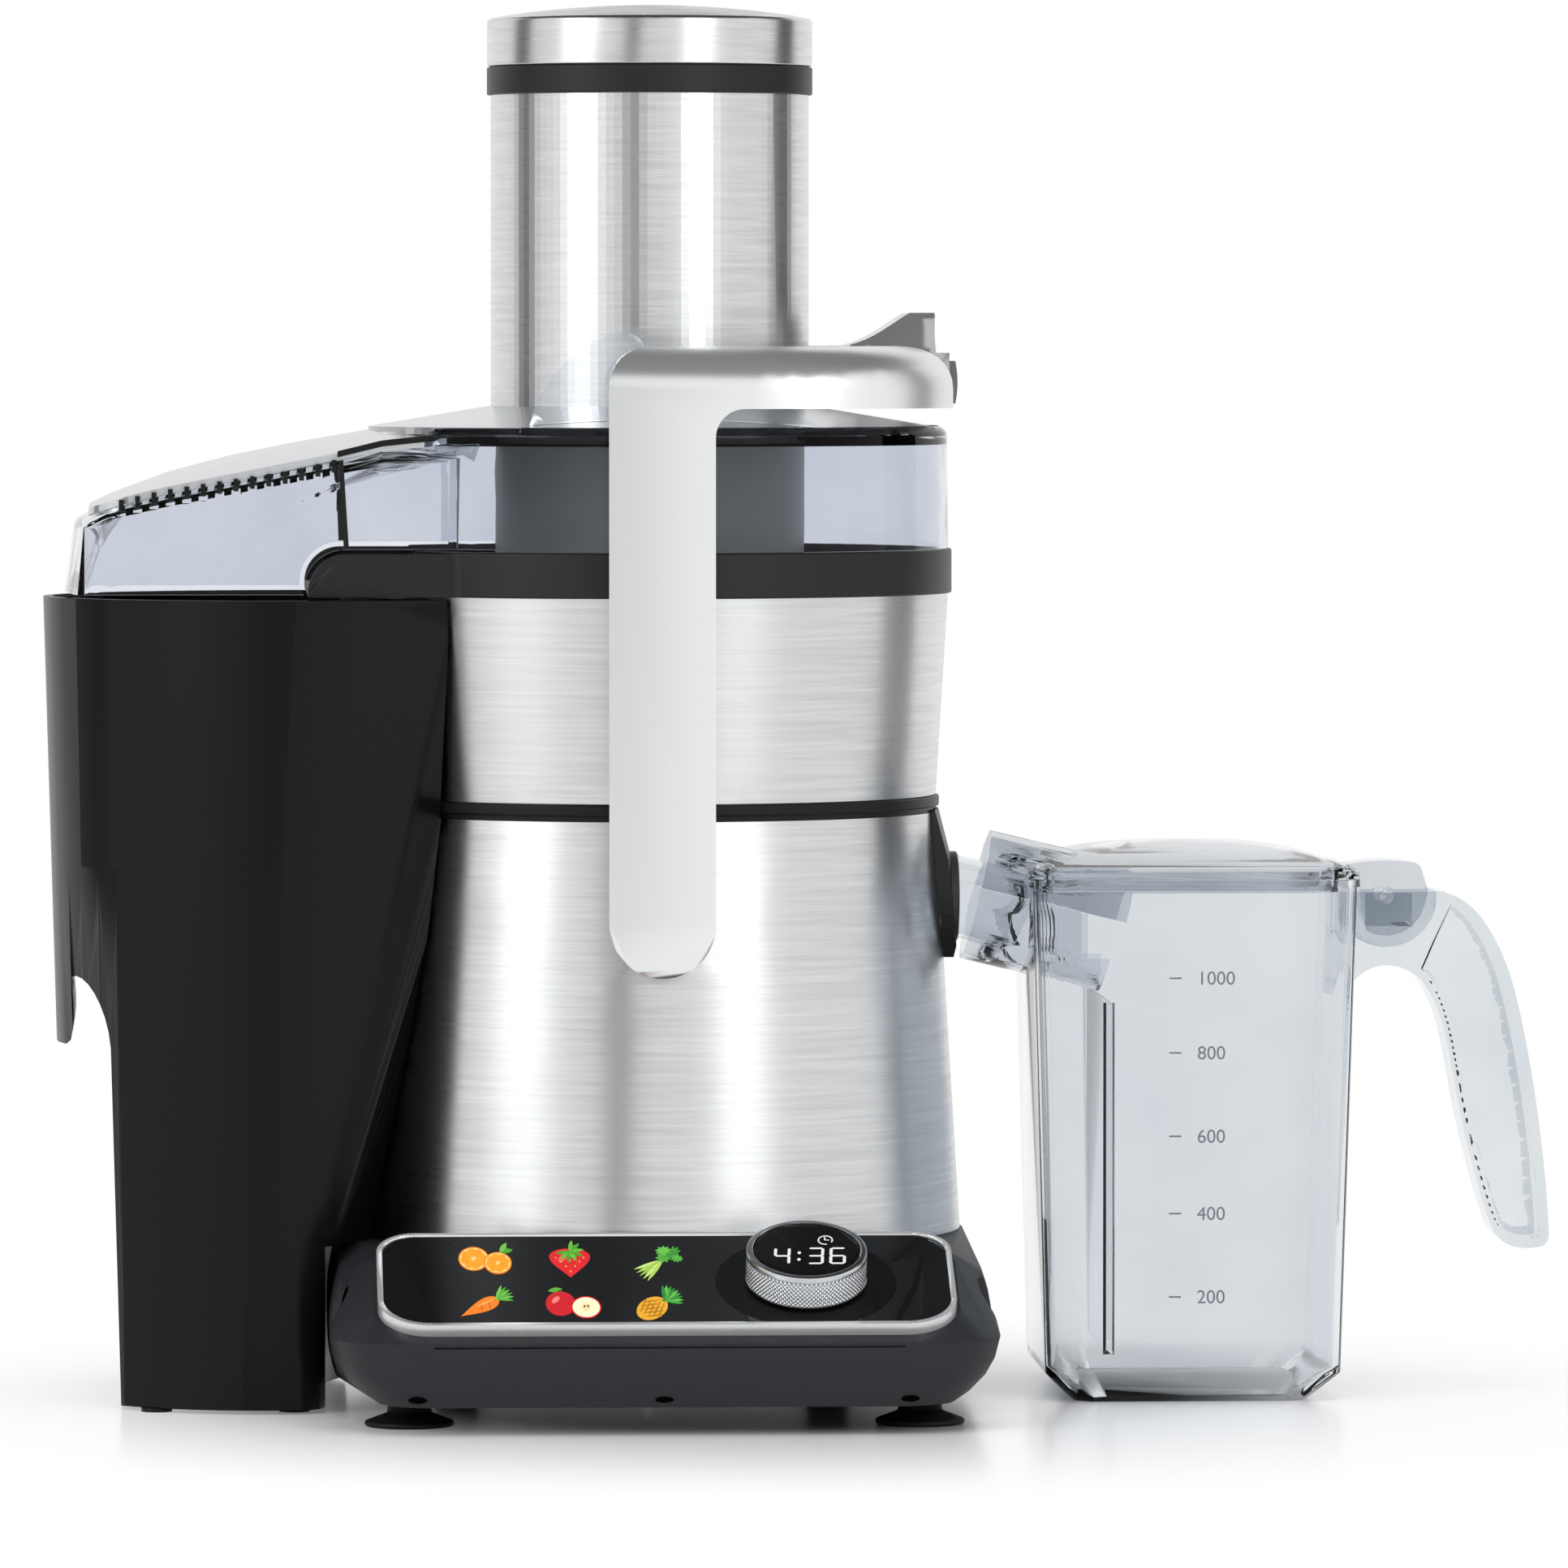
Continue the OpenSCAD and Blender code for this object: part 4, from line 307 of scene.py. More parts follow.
def outline(kind, x, y, a, b, turn=0.0, n=28):
    """An outline of half length a and half width b about (x, y), turned by degrees. With t once round:
    disc (cos t, sin t); leaf the same with its width times |sin t| ** 0.9, so both ends are pointed;
    drop with its width times ((1 + cos t) / 2) ** 0.75, so the far end is pointed; frond a disc whose
    rim waves nine times by a fifth."""
    t = np.linspace(0, 2 * np.pi, n * (2 if kind == "frond" else 1), endpoint=False)
    c, s = np.cos(t), np.sin(t)
    if kind == "leaf":
        s = s * np.abs(s) ** 0.9
    if kind == "drop":
        s = s * (0.5 + 0.5 * c) ** 0.75
    if kind == "frond":
        c, s = c * (1 + 0.2 * np.cos(9 * t)), s * (1 + 0.2 * np.cos(9 * t))
    q = math.radians(turn)
    return np.stack([x + a * c * math.cos(q) - b * s * math.sin(q),
                     y + a * c * math.sin(q) + b * s * math.cos(q)], 1)


def slices(x, y, r):
    """A cut orange: peel, pith and eight segments, whose middles lie nearly halfway out."""
    drawn = [("disc", x, y, r, r, 0, "e9820c"), ("disc", x, y, r * 0.9, r * 0.9, 0, "fbd58a")]
    for k in range(8):
        q = math.radians(45 * k + 12)
        drawn.append(("drop", x + 0.47 * r * math.cos(q), y + 0.47 * r * math.sin(q), 0.38 * r, 0.4 * r,
                      45 * k + 12, "f79b1c"))
    return drawn


def fan(x, y, reach, a, b, first, last, count, colours):
    """Leaves of half length a and half width b round (x, y), `reach` out, between two bearings."""
    turns = np.linspace(first, last, count)
    return [("leaf", x + reach * math.cos(math.radians(q)), y + reach * math.sin(math.radians(q)), a, b, q,
             colours[k % len(colours)]) for k, q in enumerate(turns)]


def seeds(points, a, b, turn, colour):
    """Like small drops at the given points."""
    return [("drop", x, y, a, b, turn, colour) for x, y in points]


# by the place of each field's middle on the glass in mm, its shapes from the lowest to the highest
fields = {
    (-51.3, 11.3): slices(-3.6, 0.6, 4.4) + slices(3.3, -1.1, 4.0) + fan(4.2, 3.0, 1.6, 2.0, 0.8, 10, 60, 2,
                                                                          ("4f9a2f", "6cb53f")),
    (-27.3, 11.1): [("drop", 0, -1.0, 5.4, 8.4, 90, "d6222a"), ("disc", -2.0, 0.8, 1.8, 0.9, 50, "ee5c50")]
    + seeds([(-4.0, 0.9), (-1.4, 1.6), (1.5, 1.5), (4.0, 0.9), (-2.6, -0.6), (0.1, -0.2), (2.8, -0.6),
             (-1.2, -2.3), (1.4, -2.3), (0.1, -4.2)], 0.35, 0.22, 90, "f8cf6a")
    + fan(0.1, 3.2, 1.9, 2.1, 0.6, -170, 80, 8, ("4c9a2c", "63b33a")),
    (-1.9, 10.9): fan(1.4, 0.2, -4.4, 4.8, 0.55, 22, 58, 5, ("c3dc7c", "a8cc5a", "8fbb45"))
    + [("frond", 1.6, 1.0, 2.0, 1.6, 20, "4fa23a"), ("frond", 4.2, 2.6, 2.4, 1.7, 50, "3c8f33"),
       ("frond", 1.6, 3.5, 1.9, 1.4, 10, "62b648"), ("frond", 5.4, 0.6, 1.5, 1.1, 0, "55aa40")],
    (-51.9, -14.3): [
        ("drop", -1.9, -1.2, 6.3, 3.3, 30, "ef7c1c"), ("leaf", -0.2, 0.5, 3.4, 0.4, 30, "f8a04c"),
        ("leaf", -1.2, -1.5, 1.4, 0.2, 100, "c85c0d"), ("leaf", 1.0, -0.6, 1.6, 0.2, 100, "c85c0d")]
    + fan(3.0, 2.0, 2.2, 2.8, 0.5, -8, 72, 6, ("4f9f35", "6ab848")),
    (-26.9, -14.5): [
        ("disc", -3.7, 0.2, 4.3, 4.4, 0, "c61c26"), ("disc", -5.1, 1.6, 1.5, 0.8, 50, "ee7b74"),
        ("leaf", -3.4, 4.9, 1.2, 0.25, 80, "6b4a22"), ("leaf", -5.2, 5.2, 2.0, 0.8, 12, "5aa53a"),
        ("disc", 3.5, -1.2, 4.3, 4.0, 0, "c61c26"), ("disc", 3.5, -1.2, 3.9, 3.6, 0, "f7ebc2"),
        ("disc", 3.5, -1.1, 1.2, 1.5, 0, "e9d698")]
    + seeds([(3.0, -1.0), (4.0, -1.0)], 0.6, 0.35, 80, "5a3517"),
    (-2.8, -14.7): [("disc", -1.8, -1.5, 5.0, 3.7, 38, "dfa32a")]
    + [("leaf", -1.8 + k * math.sin(math.radians(q)), -1.5 - k * math.cos(math.radians(q)), 3.1, 0.18, q,
        "a46d16") for q in (8, 68) for k in (-2.66, -1.33, 0, 1.33, 2.66)]
    + fan(2.0, 1.5, 2.2, 3.0, 0.6, -15, 95, 9, ("3f9a3a", "63b84c", "2f8230")),
}
# shapes are drawn taller up the slope, so that they look round from the front, and each lies a
# quarter of the print's depth above the one before it
stretch, step = 1.6, 0.25
shapes = [(outline(*shape[:-1]) * [1, stretch] + place, level * step)
          for place, drawn in fields.items() for level, shape in enumerate(drawn)]
colours = [shape[-1] for drawn in fields.values() for shape in drawn]


def inked(name, size, low, high):
    """A material whose colour is the attribute ink, toned from low to high by grain of that size in
    mm. Returns the material, its shader and the toned colour."""
    material = bpy.data.materials.new(name)
    material.use_nodes = True
    tree = material.node_tree
    ink = node(tree, "ShaderNodeAttribute", attribute_name="ink")
    where = node(tree, "ShaderNodeTexCoord").outputs["Object"]
    grain = node(tree, "ShaderNodeTexNoise", {"Vector": where, "Scale": 1 / (size * MM), "Detail": 2.0})
    tone = node(tree, "ShaderNodeMapRange", {"Value": grain.outputs["Fac"], "To Min": low, "To Max": high})
    toned = node(tree, "ShaderNodeVectorMath", {0: ink.outputs["Color"], "Scale": tone.outputs[0]},
                 operation="SCALE")
    return material, tree.nodes["Principled BSDF"], toned.outputs[0]


def on_glass(u, v, w):
    """The same as on_desk, but w is measured from the face of the glass."""
    return on_desk(u, v, w + DESK["glass"])


# glossy screen-print inks on the glass: strong flat colours with a weak painted glow, an emission that
# brightens them as if lit from behind, though no lamp stands there
screen_inks, shader, toned = inked("screen_inks_with_painted_glow", 1.5, 0.72, 1.12)
for socket in ("Base Color", "Emission Color"):
    screen_inks.node_tree.links.new(toned, shader.inputs[socket])
# painted glow: the prints give off light of their own colour
shader.inputs["Emission Strength"].default_value = 0.35
shader.inputs["Roughness"].default_value = 0.25
printed("printed_fields", shapes, on_glass, "panel_glass", screen_inks, colours=colours)

# die-cast zinc, plated and lightly polished: near white with a soft mirror
chrome = moulded("polished_die_cast_rim", "eceded", "e2e3e5", 0.2, 0.5, 0.001, metallic=0.6)
# smoked glass: black with a sharp, weak mirror of what stands behind it
glass = moulded("smoked_panel_glass", "191a1c", "151618", 0.03, 30.0, 0.0, specular_ior_level=0.6)
smooth("panel_frame", chrome)
smooth("panel_glass", glass)

# a matt black disc is printed round the knob, cut off by the rim below it; all sizes are in mm
KNOB = {"u": 40.0, "v": -2.2, "r": 17.4, "foot": 0.15, "top": 10.7}
HALO = {"r": 26.0, "below": 22.6, "above": 25.0, "under_knob": 0.8}
t = np.linspace(0, 2 * np.pi, 97)
outer = np.stack([HALO["r"] * np.cos(t), np.clip(HALO["r"] * np.sin(t), -HALO["below"], HALO["above"])], 1)
inner = (KNOB["r"] - HALO["under_knob"]) * np.stack([np.cos(t), np.sin(t)], 1)
halo = np.concatenate([outer, inner[::-1]]) + [KNOB["u"], KNOB["v"]]
# matt screen print: a black without any mirror beside the glossy glass
matt_print = moulded("matt_black_print", "060607", "09090a", 0.5, 0.5, 0.0, specular_ior_level=0.2)
printed("knob_halo", [(halo, 0)], on_glass, "panel_glass", matt_print, 0.02)

# FR4 board with solder mask: green, half gloss; it lies hidden under the glass
board_green = moulded("green_circuit_board", "1d5a34", "174a2a", 0.5)
finished(board_green, "control_board")
finished(black_abs, "rotary_encoder")

# three holes for the desk's screws, low on the base's front, are drawn as flat matt black ovals of painted
# shade; in mm, where the front's straight part ends, its corner's radius, its place at the holes, and its
# lean per mm
FRONT = {"straight": 67.0, "corner": 29.0, "y": -142.8, "z": 10.3, "draft": 0.4}
SCREW_HOLES = {"middles": (-71.7, -1.5, 68.6), "half_wide": 2.7, "half_tall": 0.95}


def on_front(u, v, w):
    """World place low on the base's front in mm: u across, v up from the holes, w out of the face.
    The face leans out by its draft, and past its straight part it follows the corner's arc."""
    past = np.clip(np.abs(u) - FRONT["straight"], 0, None)
    y = FRONT["y"] - FRONT["draft"] * v + FRONT["corner"] - np.sqrt(FRONT["corner"] ** 2 - past ** 2) - w
    return (np.stack([u, y, FRONT["z"] + v], -1) + SPINDLE) * MM


t = np.linspace(0, 2 * np.pi, 40, endpoint=False)
oval = np.stack([SCREW_HOLES["half_wide"] * np.cos(t), SCREW_HOLES["half_tall"] * np.sin(t)], 1)
# painted shade: matt black without any gloss, drawn where the screw holes are dark inside
hole_shade_paint = moulded("painted_screw_hole_shade", "050505", "080808", 0.9, 0.4, specular_ior_level=0.0)
printed("front_screw_hole_shade", [(oval + [middle, 0], 0) for middle in SCREW_HOLES["middles"]], on_front, "base_shell",
        hole_shade_paint)

# ---------------------------------------------------------------- knob and its display
# A turned aluminium ring with a fine diamond knurl, which turns round a still glass display. The
# display is pressed to start, and shows the time that is left.


def knob_profile():
    """Closed section of the ring as rows (r, z, share of knurl): down its bore, out along the foot, up
    the knurled side in steps of 0.15 mm, over the bevelled lip and down to the display's seat. The
    small numbers are the bevels at the foot and the lip, in mm."""
    r, foot, top = KNOB["r"], KNOB["foot"], KNOB["top"]
    bore, seat, valley, floor = r - 6.8, r - 2.0, r - 0.5, foot + 3
    rows = [(bore, floor, 0), (bore, foot, 0), (r - 0.9, foot, 0), (r - 0.15, foot + 0.4, 0),
            (r, foot + 0.9, 0), (valley, foot + 1.15, 0)]
    rows += [(valley, z, 1) for z in np.linspace(foot + 1.3, top - 2.1, 48)]
    rows += [(valley, top - 1.95, 0), (r, top - 1.75, 0), (r, top - 0.8, 0), (r - 0.25, top - 0.25, 0),
             (r - 0.7, top, 0), (r - 1.7, top, 0), (seat, top - 0.25, 0), (seat, floor, 0)]
    return np.array(rows)


def knurled_ring(diamonds=84, per=10, height=0.45):
    """The section turned round its axis at angle a. The knurl raises it by the root of
    |sin(d a / 2 + p) sin(d a / 2 - p)| times its height in mm, with d the diamonds round the knob and
    p a phase that makes them as tall as wide. Two thirds of the real count are drawn, so they show."""
    rows = knob_profile()
    a = np.linspace(0, 2 * np.pi, diamonds * per, endpoint=False)
    phase = rows[:, 1, None] * diamonds / (2 * KNOB["r"])
    half = diamonds / 2 * a[None, :]
    raised = np.sqrt(np.abs(np.sin(half + phase) * np.sin(half - phase))) * height * rows[:, 2, None]
    r = rows[:, 0, None] + raised
    return on_desk(KNOB["u"] + r * np.cos(a), KNOB["v"] + r * np.sin(a), rows[:, 1, None])


def closed_grid(name, points, sharp):
    """A grid of points (rows, columns, 3) closed both ways, joined by quads and shaded softly across
    edges below `sharp` degrees."""
    rows, columns = points.shape[:2]
    i, j = np.meshgrid(np.arange(rows), np.arange(columns), indexing="ij")
    k = (i + 1) % rows
    m = (j + 1) % columns
    quads = np.stack([i * columns + j, i * columns + m, k * columns + m, k * columns + j], -1).reshape(-1, 4)
    mesh = bpy.data.meshes.new(name)
    mesh.from_pydata(points.reshape(-1, 3).tolist(), [], quads.tolist())
    mesh.shade_smooth()
    mesh.set_sharp_from_angle(angle=math.radians(sharp))
    return mesh


# turned and knurled aluminium, clear anodised: pale grey with a fine sparkle
knob_metal = moulded("anodised_turned_aluminium", "d3d5d7", "babcbf", 0.24, 0.4, 0.002, metallic=1.0)
piece("knurled_knob", closed_grid("knurled_knob", knurled_ring(), 35), knob_metal, "knob_ring",
      ("knob_ring",))

# display glass: deep black and glossy
display = moulded("black_display_glass", "050506", "070708", 0.06, 20.0, 0.0, specular_ior_level=0.3)
smooth("start_button", display)


def bar(x0, y0, x1, y1, wide=0.85):
    """One bar of a digit: a hexagon from end to end, pointed at both."""
    start, end = np.array([x0, y0]), np.array([x1, y1])
    along = (end - start) / np.linalg.norm(end - start) * wide / 2
    out = np.array([-along[1], along[0]])
    return np.array([start, start + along - out, end - along - out,
                     end, end - along + out, start + along + out])


def digit(which, x, foot=-8.1, wide=3.9, tall=8.8):
    """A seven-bar digit whose left edge is at x: bars a to g by their usual letters."""
    low, middle, high, right = foot, foot + tall / 2, foot + tall, x + wide
    places = {"a": (x, high, right, high), "b": (right, middle, right, high),
              "c": (right, low, right, middle), "d": (x, low, right, low), "e": (x, low, x, middle),
              "f": (x, middle, x, high), "g": (x, middle, right, middle)}
    return [bar(*places[letter]) for letter in {4: "bcfg", 3: "abcdg", 6: "acdefg"}[which]]


# the time left, 4:36, and above it a clock sign: an open ring with two hands
marks = digit(4, -8.9) + digit(3, 0.7) + digit(6, 7.0)
marks += [outline("disc", -2.1, y, 0.5, 0.8, n=12) for y in (-5.8, -1.9)]
CLOCK = {"middle": (5.2, 5.5), "outer": (2.2, 2.7), "inner": (1.8, 2.2), "hub": (5.0, 5.5), "hand": 0.42}
t = np.linspace(math.radians(-30), math.radians(285), 40)
arc = np.stack([np.cos(t), np.sin(t)], 1)
marks.append(np.concatenate([arc * CLOCK["outer"], arc[::-1] * CLOCK["inner"]]) + CLOCK["middle"])
marks += [bar(*CLOCK["hub"], *tip, CLOCK["hand"]) for tip in ((5.0, 7.3), (6.4, 5.5))]
slant, recess = 0.07, 0.3


def on_display(u, v, w):
    """World place on the sunk face of the display, from its middle in mm; the digits lean right."""
    return on_desk(KNOB["u"] + u + slant * v, KNOB["v"] + v, w + KNOB["top"] - recess)


# lit display segments: cold white light through the black glass
lit_segments, shader, toned = inked("lit_display_segments", 0.5, 0.88, 1.0)
shader.inputs["Base Color"].default_value = srgb("202224")
lit_segments.node_tree.links.new(toned, shader.inputs["Emission Color"])
shader.inputs["Emission Strength"].default_value = 1.0
printed("display_time", [(mark, 0) for mark in marks], on_display, "start_button", lit_segments, 0.03,
        ["f2f5f8"] * len(marks))

# ---------------------------------------------------------------- motor housing
# A cone of brushed stainless sheet, 0.6 mm thick, rolled round a black plastic liner that carries the
# motor. The brushing runs round it, so every lamp draws an upright band on it.


def brushed(name, colour, shade, roughness, grain=(0.22, 26.0), bump=0.0006):
    """Steel brushed round the spindle: noise stretched along the grain, whose width and length are in
    mm. The way along it is the angle round the spindle times a mean radius of 90 mm."""
    material, shader = plain(name, colour, roughness, 1.0, anisotropic=0.6, anisotropic_rotation=0.25)
    tree = material.node_tree
    where = node(tree, "ShaderNodeTexCoord").outputs["Object"]
    placed = node(tree, "ShaderNodeVectorMath", {0: where, 1: tuple(-SPINDLE * MM)}, operation="ADD")
    split = node(tree, "ShaderNodeSeparateXYZ", {"Vector": placed.outputs[0]})
    angle = node(tree, "ShaderNodeMath", {0: split.outputs["Y"], 1: split.outputs["X"]}, operation="ARCTAN2")
    along = node(tree, "ShaderNodeMath", {0: angle.outputs[0], 1: 90 / grain[1]}, operation="MULTIPLY")
    across = node(tree, "ShaderNodeMath", {0: split.outputs["Z"], 1: 1 / (grain[0] * MM)},
                  operation="MULTIPLY")
    place = node(tree, "ShaderNodeCombineXYZ", {"X": along.outputs[0], "Y": across.outputs[0]})
    fine = node(tree, "ShaderNodeTexNoise", {"Vector": place.outputs[0], "Scale": 1.0, "Detail": 3.0})
    wide = node(tree, "ShaderNodeMapping", {"Vector": place.outputs[0], "Scale": (0.45, 0.16, 1)})
    broad = node(tree, "ShaderNodeTexNoise", {"Vector": wide.outputs[0], "Scale": 1.0, "Detail": 4.0})
    mixed = node(tree, "ShaderNodeMath", {0: fine.outputs["Fac"], 1: broad.outputs["Fac"]}, operation="ADD")
    ramp = node(tree, "ShaderNodeMapRange", {"Value": mixed.outputs[0], "From Min": 0.6, "From Max": 1.4})
    mix = node(tree, "ShaderNodeMix", {"Factor": ramp.outputs[0], 6: srgb(shade), 7: srgb(colour)},
               data_type="RGBA")
    rough = node(tree, "ShaderNodeMapRange", {"Value": mixed.outputs[0], "From Min": 0.6, "From Max": 1.4,
                                              "To Min": roughness + 0.05, "To Max": roughness - 0.05})
    bumped = node(tree, "ShaderNodeBump", {"Height": mixed.outputs[0], "Distance": bump * MM})
    tangent = node(tree, "ShaderNodeTangent", direction_type="RADIAL", axis="Z")
    for output, socket in ((mix.outputs[2], "Base Color"), (rough.outputs[0], "Roughness"),
                           (bumped.outputs["Normal"], "Normal"), (tangent.outputs[0], "Tangent")):
        tree.links.new(output, shader.inputs[socket])
    return material


# brushed stainless sheet: fine level hairlines, drawn 0.2 mm wide, about four times the real ones
steel = brushed("brushed_stainless_sheet", "e0e1e2", "c4c6c8", 0.3)
smooth("housing_shell", steel)
finished(black_abs, "housing_liner", "motor_deck")

# ---------------------------------------------------------------- arm pivots
# Short bosses of black plastic stand out of the housing on the front and the back, each with a
# steel pin that the arm swings on.
smooth("pivot_bosses", black_abs)
smooth("pivot_pins", zinc)

# ---------------------------------------------------------------- spout
# A bevelled black escutcheon and a collar close the hole in the housing; the clear spout is pushed
# through them and falls towards the jug.
# ABS from a polished mould: black, with a tighter sheen than the rest of the plastic
escutcheon_black = moulded("black_abs_escutcheon", "1b1c1d", "151617", 0.36, specular_ior_level=0.3)
# ABS coloured olive grey: a warm shade beside the neutral blacks
olive = moulded("olive_grey_abs", "3c3b34", "302f2a", 0.45, specular_ior_level=0.3)
smooth("spout_escutcheon", escutcheon_black)
smooth("spout_collar", olive)


def clear(name, colour, ior=1.25):
    """Clear moulded plastic: full transmission with a slow change of tint, as the melt flowed. The
    index of refraction is set under the real 1.55, so that thin walls show what is behind them whole."""
    material, shader = plain(name, colour, 0.03, transmission_weight=1.0, ior=ior)
    varied(material, shader, colour, "f6f7f9", 40.0, 0.4)
    return material


# clear copolyester: cool grey where it is thick, bright lines where its edges turn
jug_clear = clear("clear_copolyester", "e6e9ec")
smooth("spout_tube", jug_clear)

# ---------------------------------------------------------------- motor
# An open universal motor: laminated iron, enamelled copper coils and two cast brackets that hold
# the bearings, bolted together and hung on rubber mounts inside the housing.
# stacked electrical sheet: dull grey iron with a faint grain
iron = moulded("laminated_motor_iron", "6d7074", "5c5f63", 0.45, 0.5, 0.02, metallic=0.8)
# enamelled wire: glossy orange brown
copper = moulded("enamelled_copper_wire", "b0662e", "8c4c1f", 0.3, 0.7, 0.05, metallic=0.8)
# die-cast aluminium, as cast: light grey and slightly rough
cast = moulded("cast_aluminium", "8f9296", "7b7e82", 0.5, 0.8, 0.03, metallic=0.9)
# pressed carbon: dead black
carbon = moulded("pressed_carbon", "2e2e30", "252526", 0.7)
finished(iron, "stator_core")
finished(copper, "field_coils", "armature")
finished(cast, "lower_bracket", "upper_bracket")
finished(zinc, "shaft_bearings", "through_bolts", "motor_shaft")
finished(rubber, "rubber_mounts", "shaft_seal")
finished(carbon, "carbon_brushes")
finished(black_abs, "cooling_fan")

# ---------------------------------------------------------------- filter basket and cutter
# A cone of etched stainless mesh with a rolled rim, moulded to a plastic hub that drops on the
# coupling; the cutter disc with its teeth is riveted in its floor.
finished(black_abs, "drive_coupling", "filter_hub")
# etched stainless sheet: bright, with a fine grain left by the acid
filter_steel = moulded("etched_filter_steel", "c9ccd0", "b0b3b7", 0.3, 0.6, 0.01, metallic=1.0)
finished(filter_steel, "filter_mesh", "filter_rim", "cutter_disc")

# ---------------------------------------------------------------- juice bowl
# A black bowl catches the juice round the basket. A steel wrap dresses it above a double foot ring,
# and a wide satin ring on top carries the lid and forms the lip over the bin.
# ABS from a lightly etched mould: very dark grey with a satin sheen
ring_grey = moulded("dark_grey_abs_satin", "222223", "1b1b1c", 0.42, specular_ior_level=0.25)
smooth("juice_bowl", black_abs)
smooth("bowl_foot_ring", black_abs)
smooth("bowl_wrap", steel)
smooth("bowl_ring", ring_grey)

# ---------------------------------------------------------------- lid
# One clear moulding covers the basket and runs left as a hood over the bin. A silver painted cover
# with a tongue is clipped on top, with a black trim round it and vents along the tongue.

# clear copolyester: bluish grey, as light passes several walls of it
lid_clear = clear("clear_lid_copolyester", "dadee6", ior=1.2)
smooth("clear_lid", lid_clear, 24)
# metallic spray paint: soft silver with a fine flake
cover_silver = moulded("silver_spray_paint", "cfd1d3", "c3c5c8", 0.24, 0.35, 0.001, metallic=0.8)
smooth("lid_cover", cover_silver, 24)
smooth("lid_trim", rubber)
smooth("vent_grilles", black_abs)
# the fins are thick for their size and nearly colourless: they break up the light behind them
smooth("fin_guards", clear("clear_fin_plastic", "eef0f4", 1.45))


def strip(name, path, wide, high, up, material, like):
    """A square cord carried along a path: at each point its section spans the way across and `up`,
    and both ends are closed by their own section."""
    path, up = np.asarray(path, float), np.asarray(up, float)
    along = np.gradient(path, axis=0)
    across = np.cross(along, up)
    across /= np.linalg.norm(across, axis=1, keepdims=True)
    rise = up / np.linalg.norm(up)
    corners = np.array([(-1, -1), (1, -1), (1, 1), (-1, 1)]) / 2
    points = (path[:, None] + corners[None, :, :1] * across[:, None] * wide
              + corners[None, :, 1:] * rise * high + SPINDLE) * MM
    n = len(path)
    i, j = np.meshgrid(np.arange(n - 1), np.arange(4), indexing="ij")
    m = (j + 1) % 4
    quads = np.stack([i * 4 + j, (i + 1) * 4 + j, (i + 1) * 4 + m, i * 4 + m], -1).reshape(-1, 4).tolist()
    shape = bmesh.new()
    made = [shape.verts.new(p) for p in points.reshape(-1, 3).tolist()]
    for quad in quads + [[3, 2, 1, 0], [4 * n - 4, 4 * n - 3, 4 * n - 2, 4 * n - 1]]:
        shape.faces.new([made[v] for v in quad])
    bmesh.ops.recalc_face_normals(shape, faces=shape.faces)
    mesh = bpy.data.meshes.new(name)
    shape.to_mesh(mesh)
    shape.free()
    piece(name, mesh, material, like)


# The trim goes on from the round part along the tongue, and down the hood's side as a seal. In mm
# from the spindle: the trim's radius, the lid's height, the half widths of the tongue and the hood,
# and the hood's roof as (distance to the left, height).
LID = {"trim_r": 84.4, "top": 286.0, "tongue_half": 56.0, "hood_half": 66.0}
roof = np.array([(46, 283.0), (80, 279.4), (106, 273.1), (125, 270.2)])
# first and last value of each run, and how wide and high the two cords are
SEAL = {"bearing": (119, 137.6), "below_top": (1.2, 2.2), "tongue_x": (-64, -93), "above_roof": 2.0,
        "upright_x": (-92.2, -90.6), "upright_z": (276.6, 251.0), "gap": 0.9, "stand_off": 0.05,
        "cord": (1.4, 1.8), "upright_cord": (1.5, 0.7)}
for name, side in (("front_hood_seal", -1), ("back_hood_seal", 1)):
    turn = np.radians(np.linspace(*SEAL["bearing"], 10))
    bend = np.stack([LID["trim_r"] * np.cos(turn), side * LID["trim_r"] * np.sin(turn),
                     LID["top"] - np.linspace(*SEAL["below_top"], 10)], 1)
    x = np.linspace(*SEAL["tongue_x"], 10)
    edge = np.stack([x, np.full(10, side * (LID["tongue_half"] + SEAL["gap"])),
                     np.interp(-x, *roof.T) + SEAL["above_roof"]], 1)
    strip(name, np.concatenate([bend, edge]), *SEAL["cord"], (0, 0, 1), rubber, "lid_trim")
    wall = np.stack([np.linspace(*SEAL["upright_x"], 8),
                     np.full(8, side * (LID["hood_half"] + SEAL["stand_off"])),
                     np.linspace(*SEAL["upright_z"], 8)], 1)
    strip(name + "_upright", wall, *SEAL["upright_cord"], (0, 1, 0), rubber, "lid_trim")

# ---------------------------------------------------------------- feed chute
# A slate grey plastic chute stands in the lid and is dressed with a brushed steel sleeve and a black
# rim; whole fruit goes down it.
# polypropylene: mid grey with a waxy, weak gloss
chute_grey = moulded("slate_grey_pp", "989896", "8c8c8a", 0.35, specular_ior_level=0.35)
smooth("feed_chute", chute_grey)
smooth("chute_sleeve", steel)
smooth("chute_rim", ring_grey)

# ---------------------------------------------------------------- pusher
# A hollow plastic cup slides in the chute and pushes the fruit down; a brushed steel cap with a low
# dome closes it.
smooth("pusher_body", chute_grey)
smooth("pusher_cap", steel)

# ---------------------------------------------------------------- locking arm
# A hoop of die-cast aluminium with two flat legs swings over the lid and locks it; it is painted in
# satin silver, with a thumb rest over the grey lock button.
# satin metallic paint: nearly white where it faces the room, grey where it mirrors the ceiling
arm_silver = moulded("satin_silver_paint", "eff0f0", "e7e8e9", 0.34, 0.3, 0.001, metallic=0.86)
# the same kind of paint in dark grey, half gloss
button_grey = moulded("grey_button_paint", "6b6d70", "606265", 0.35, 0.4, 0.004, metallic=0.5)
smooth("locking_arm", arm_silver, 38)
smooth("lock_button", button_grey)
finished(zinc, "latch_spring")

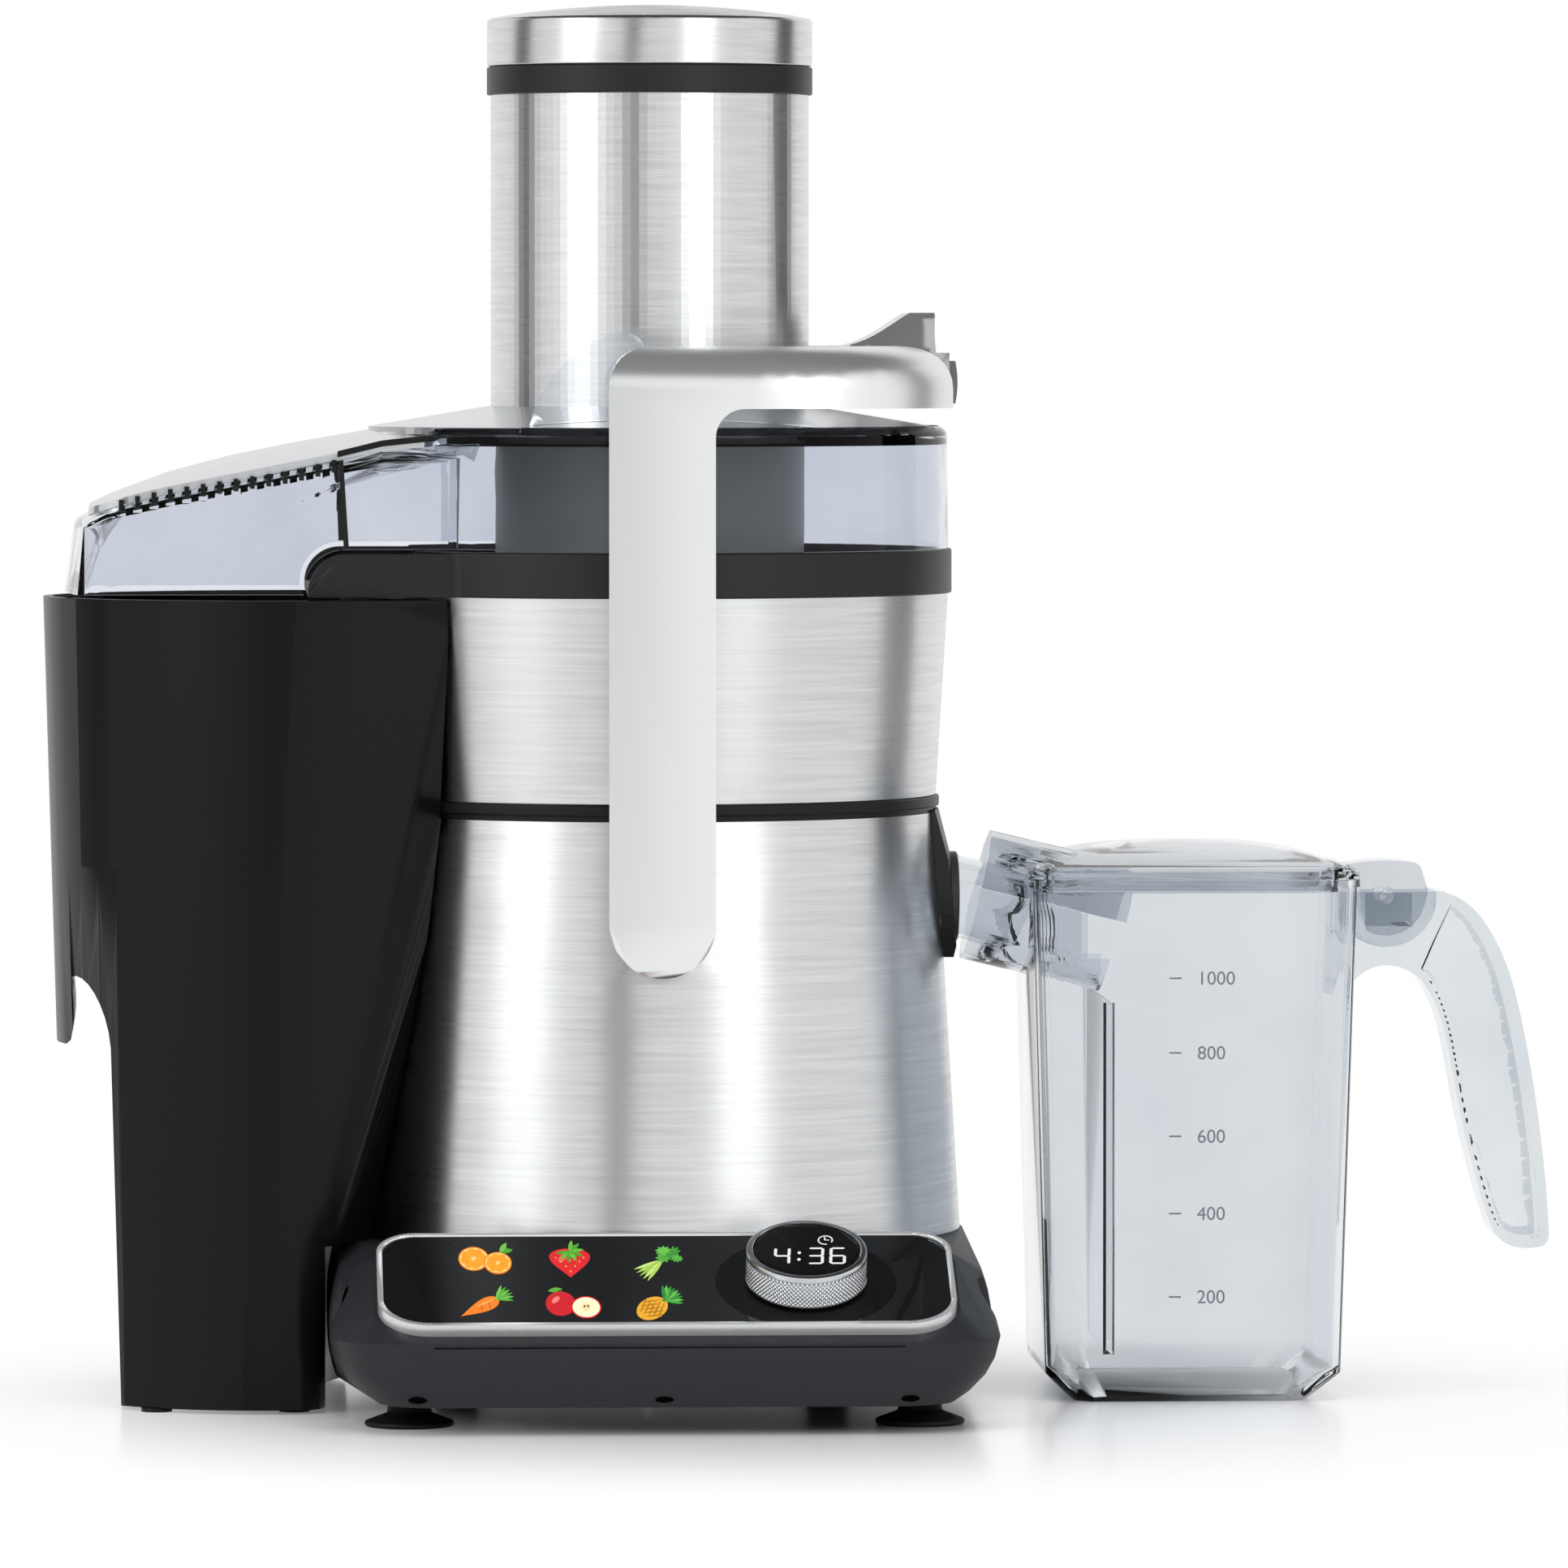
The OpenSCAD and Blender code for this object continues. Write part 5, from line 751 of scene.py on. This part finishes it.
# ---------------------------------------------------------------- pulp bin
# A deep bin of glossy black plastic hangs under the hood, hollowed to go round the machine, with a
# slot for the fingers on its left side and soft pads under it.
# ABS from a polished mould: deep black with soft mirrored bands
bin_black = moulded("black_bin_abs", "0e1012", "0a0c0e", 0.3, 0.9, 0.004, specular_ior_level=0.16)
smooth("pulp_bin", bin_black, 40)
smooth("bin_feet", rubber)

# ---------------------------------------------------------------- juice jug
# A clear jug with a bevelled foot stands under the spout. A plate inside it holds back the froth, a
# wide bracket carries the open grip, and the cushion-shaped lid turns on a pin in that bracket.
smooth("jug_body", jug_clear, 24)
smooth("froth_separator", jug_clear)
# the same copolyester in a thick, polished grip: it bends what is behind it only a little
handle_clear = clear("polished_clear_copolyester", "d4dade", 1.12)
smooth("jug_handle", handle_clear)
# the same clear copolyester tinted a shade darker than the jug all over: painted shade, standing in for the
# grey shading on the lid's dome
jug_lid_shade_tinted = clear("shade_tinted_clear_copolyester", "c6cbd1")
smooth("jug_lid", jug_lid_shade_tinted, 24)


JUG = {"front": 48.4, "draft": 1.6, "foot": 8.0, "tall": 145.2}
# height in mm of each millilitre mark, and where its dash and its figures stand
MARKS = {1000: 124.7, 800: 102.8, 600: 78.3, 400: 55.6, 200: 31.1}
SCALE = {"dash": (150.1, 153.9), "line": 0.5, "figures": 158.4, "half_tall": 1.9, "size": 5.6, "ink": 0.03}


def on_jug(u, v, w):
    """World place on the jug's front wall, which leans out by its draft over its height: u is the
    distance right of the spindle, v the height, w the way out of the wall, all in mm."""
    u, v, w = np.broadcast_arrays(u, v, w)
    front = JUG["front"] + JUG["draft"] * (v - JUG["foot"]) / JUG["tall"]
    return (np.stack([u, -front - w, v], -1) + SPINDLE) * MM


# pad-printed grey ink: matt, with a faint change of shade
scale_ink = moulded("grey_pad_print", "6f767b", "7d848a", 0.5, 0.6, 0.0)
for millilitres, height in MARKS.items():
    text = bpy.data.curves.new(f"scale_{millilitres}", "FONT")
    text.body = str(millilitres)
    text.size = SCALE["size"]
    text.extrude = 0.04
    holder = bpy.data.objects.new(f"scale_{millilitres}", text)
    scene.collection.objects.link(holder)
    bpy.context.view_layer.update()
    mesh = bpy.data.meshes.new_from_object(holder.evaluated_get(bpy.context.evaluated_depsgraph_get()))
    bpy.data.objects.remove(holder)
    flat = np.empty(len(mesh.vertices) * 3, np.float32)
    mesh.vertices.foreach_get("co", flat)
    flat = flat.reshape(-1, 3)
    placed = on_jug(SCALE["figures"] + flat[:, 0], height - SCALE["half_tall"] + flat[:, 1],
                    SCALE["ink"] + flat[:, 2])
    mesh.vertices.foreach_set("co", placed.astype(np.float32).ravel())
    mesh.materials.clear()
    piece(f"jug_scale_{millilitres}", mesh, scale_ink, "jug_body")
first, last = SCALE["dash"]
dashes = [(bar(first, height, last, height, SCALE["line"]), 0) for height in MARKS.values()]
printed("jug_scale_dashes", dashes, on_jug, "jug_body", scale_ink, 0.04)
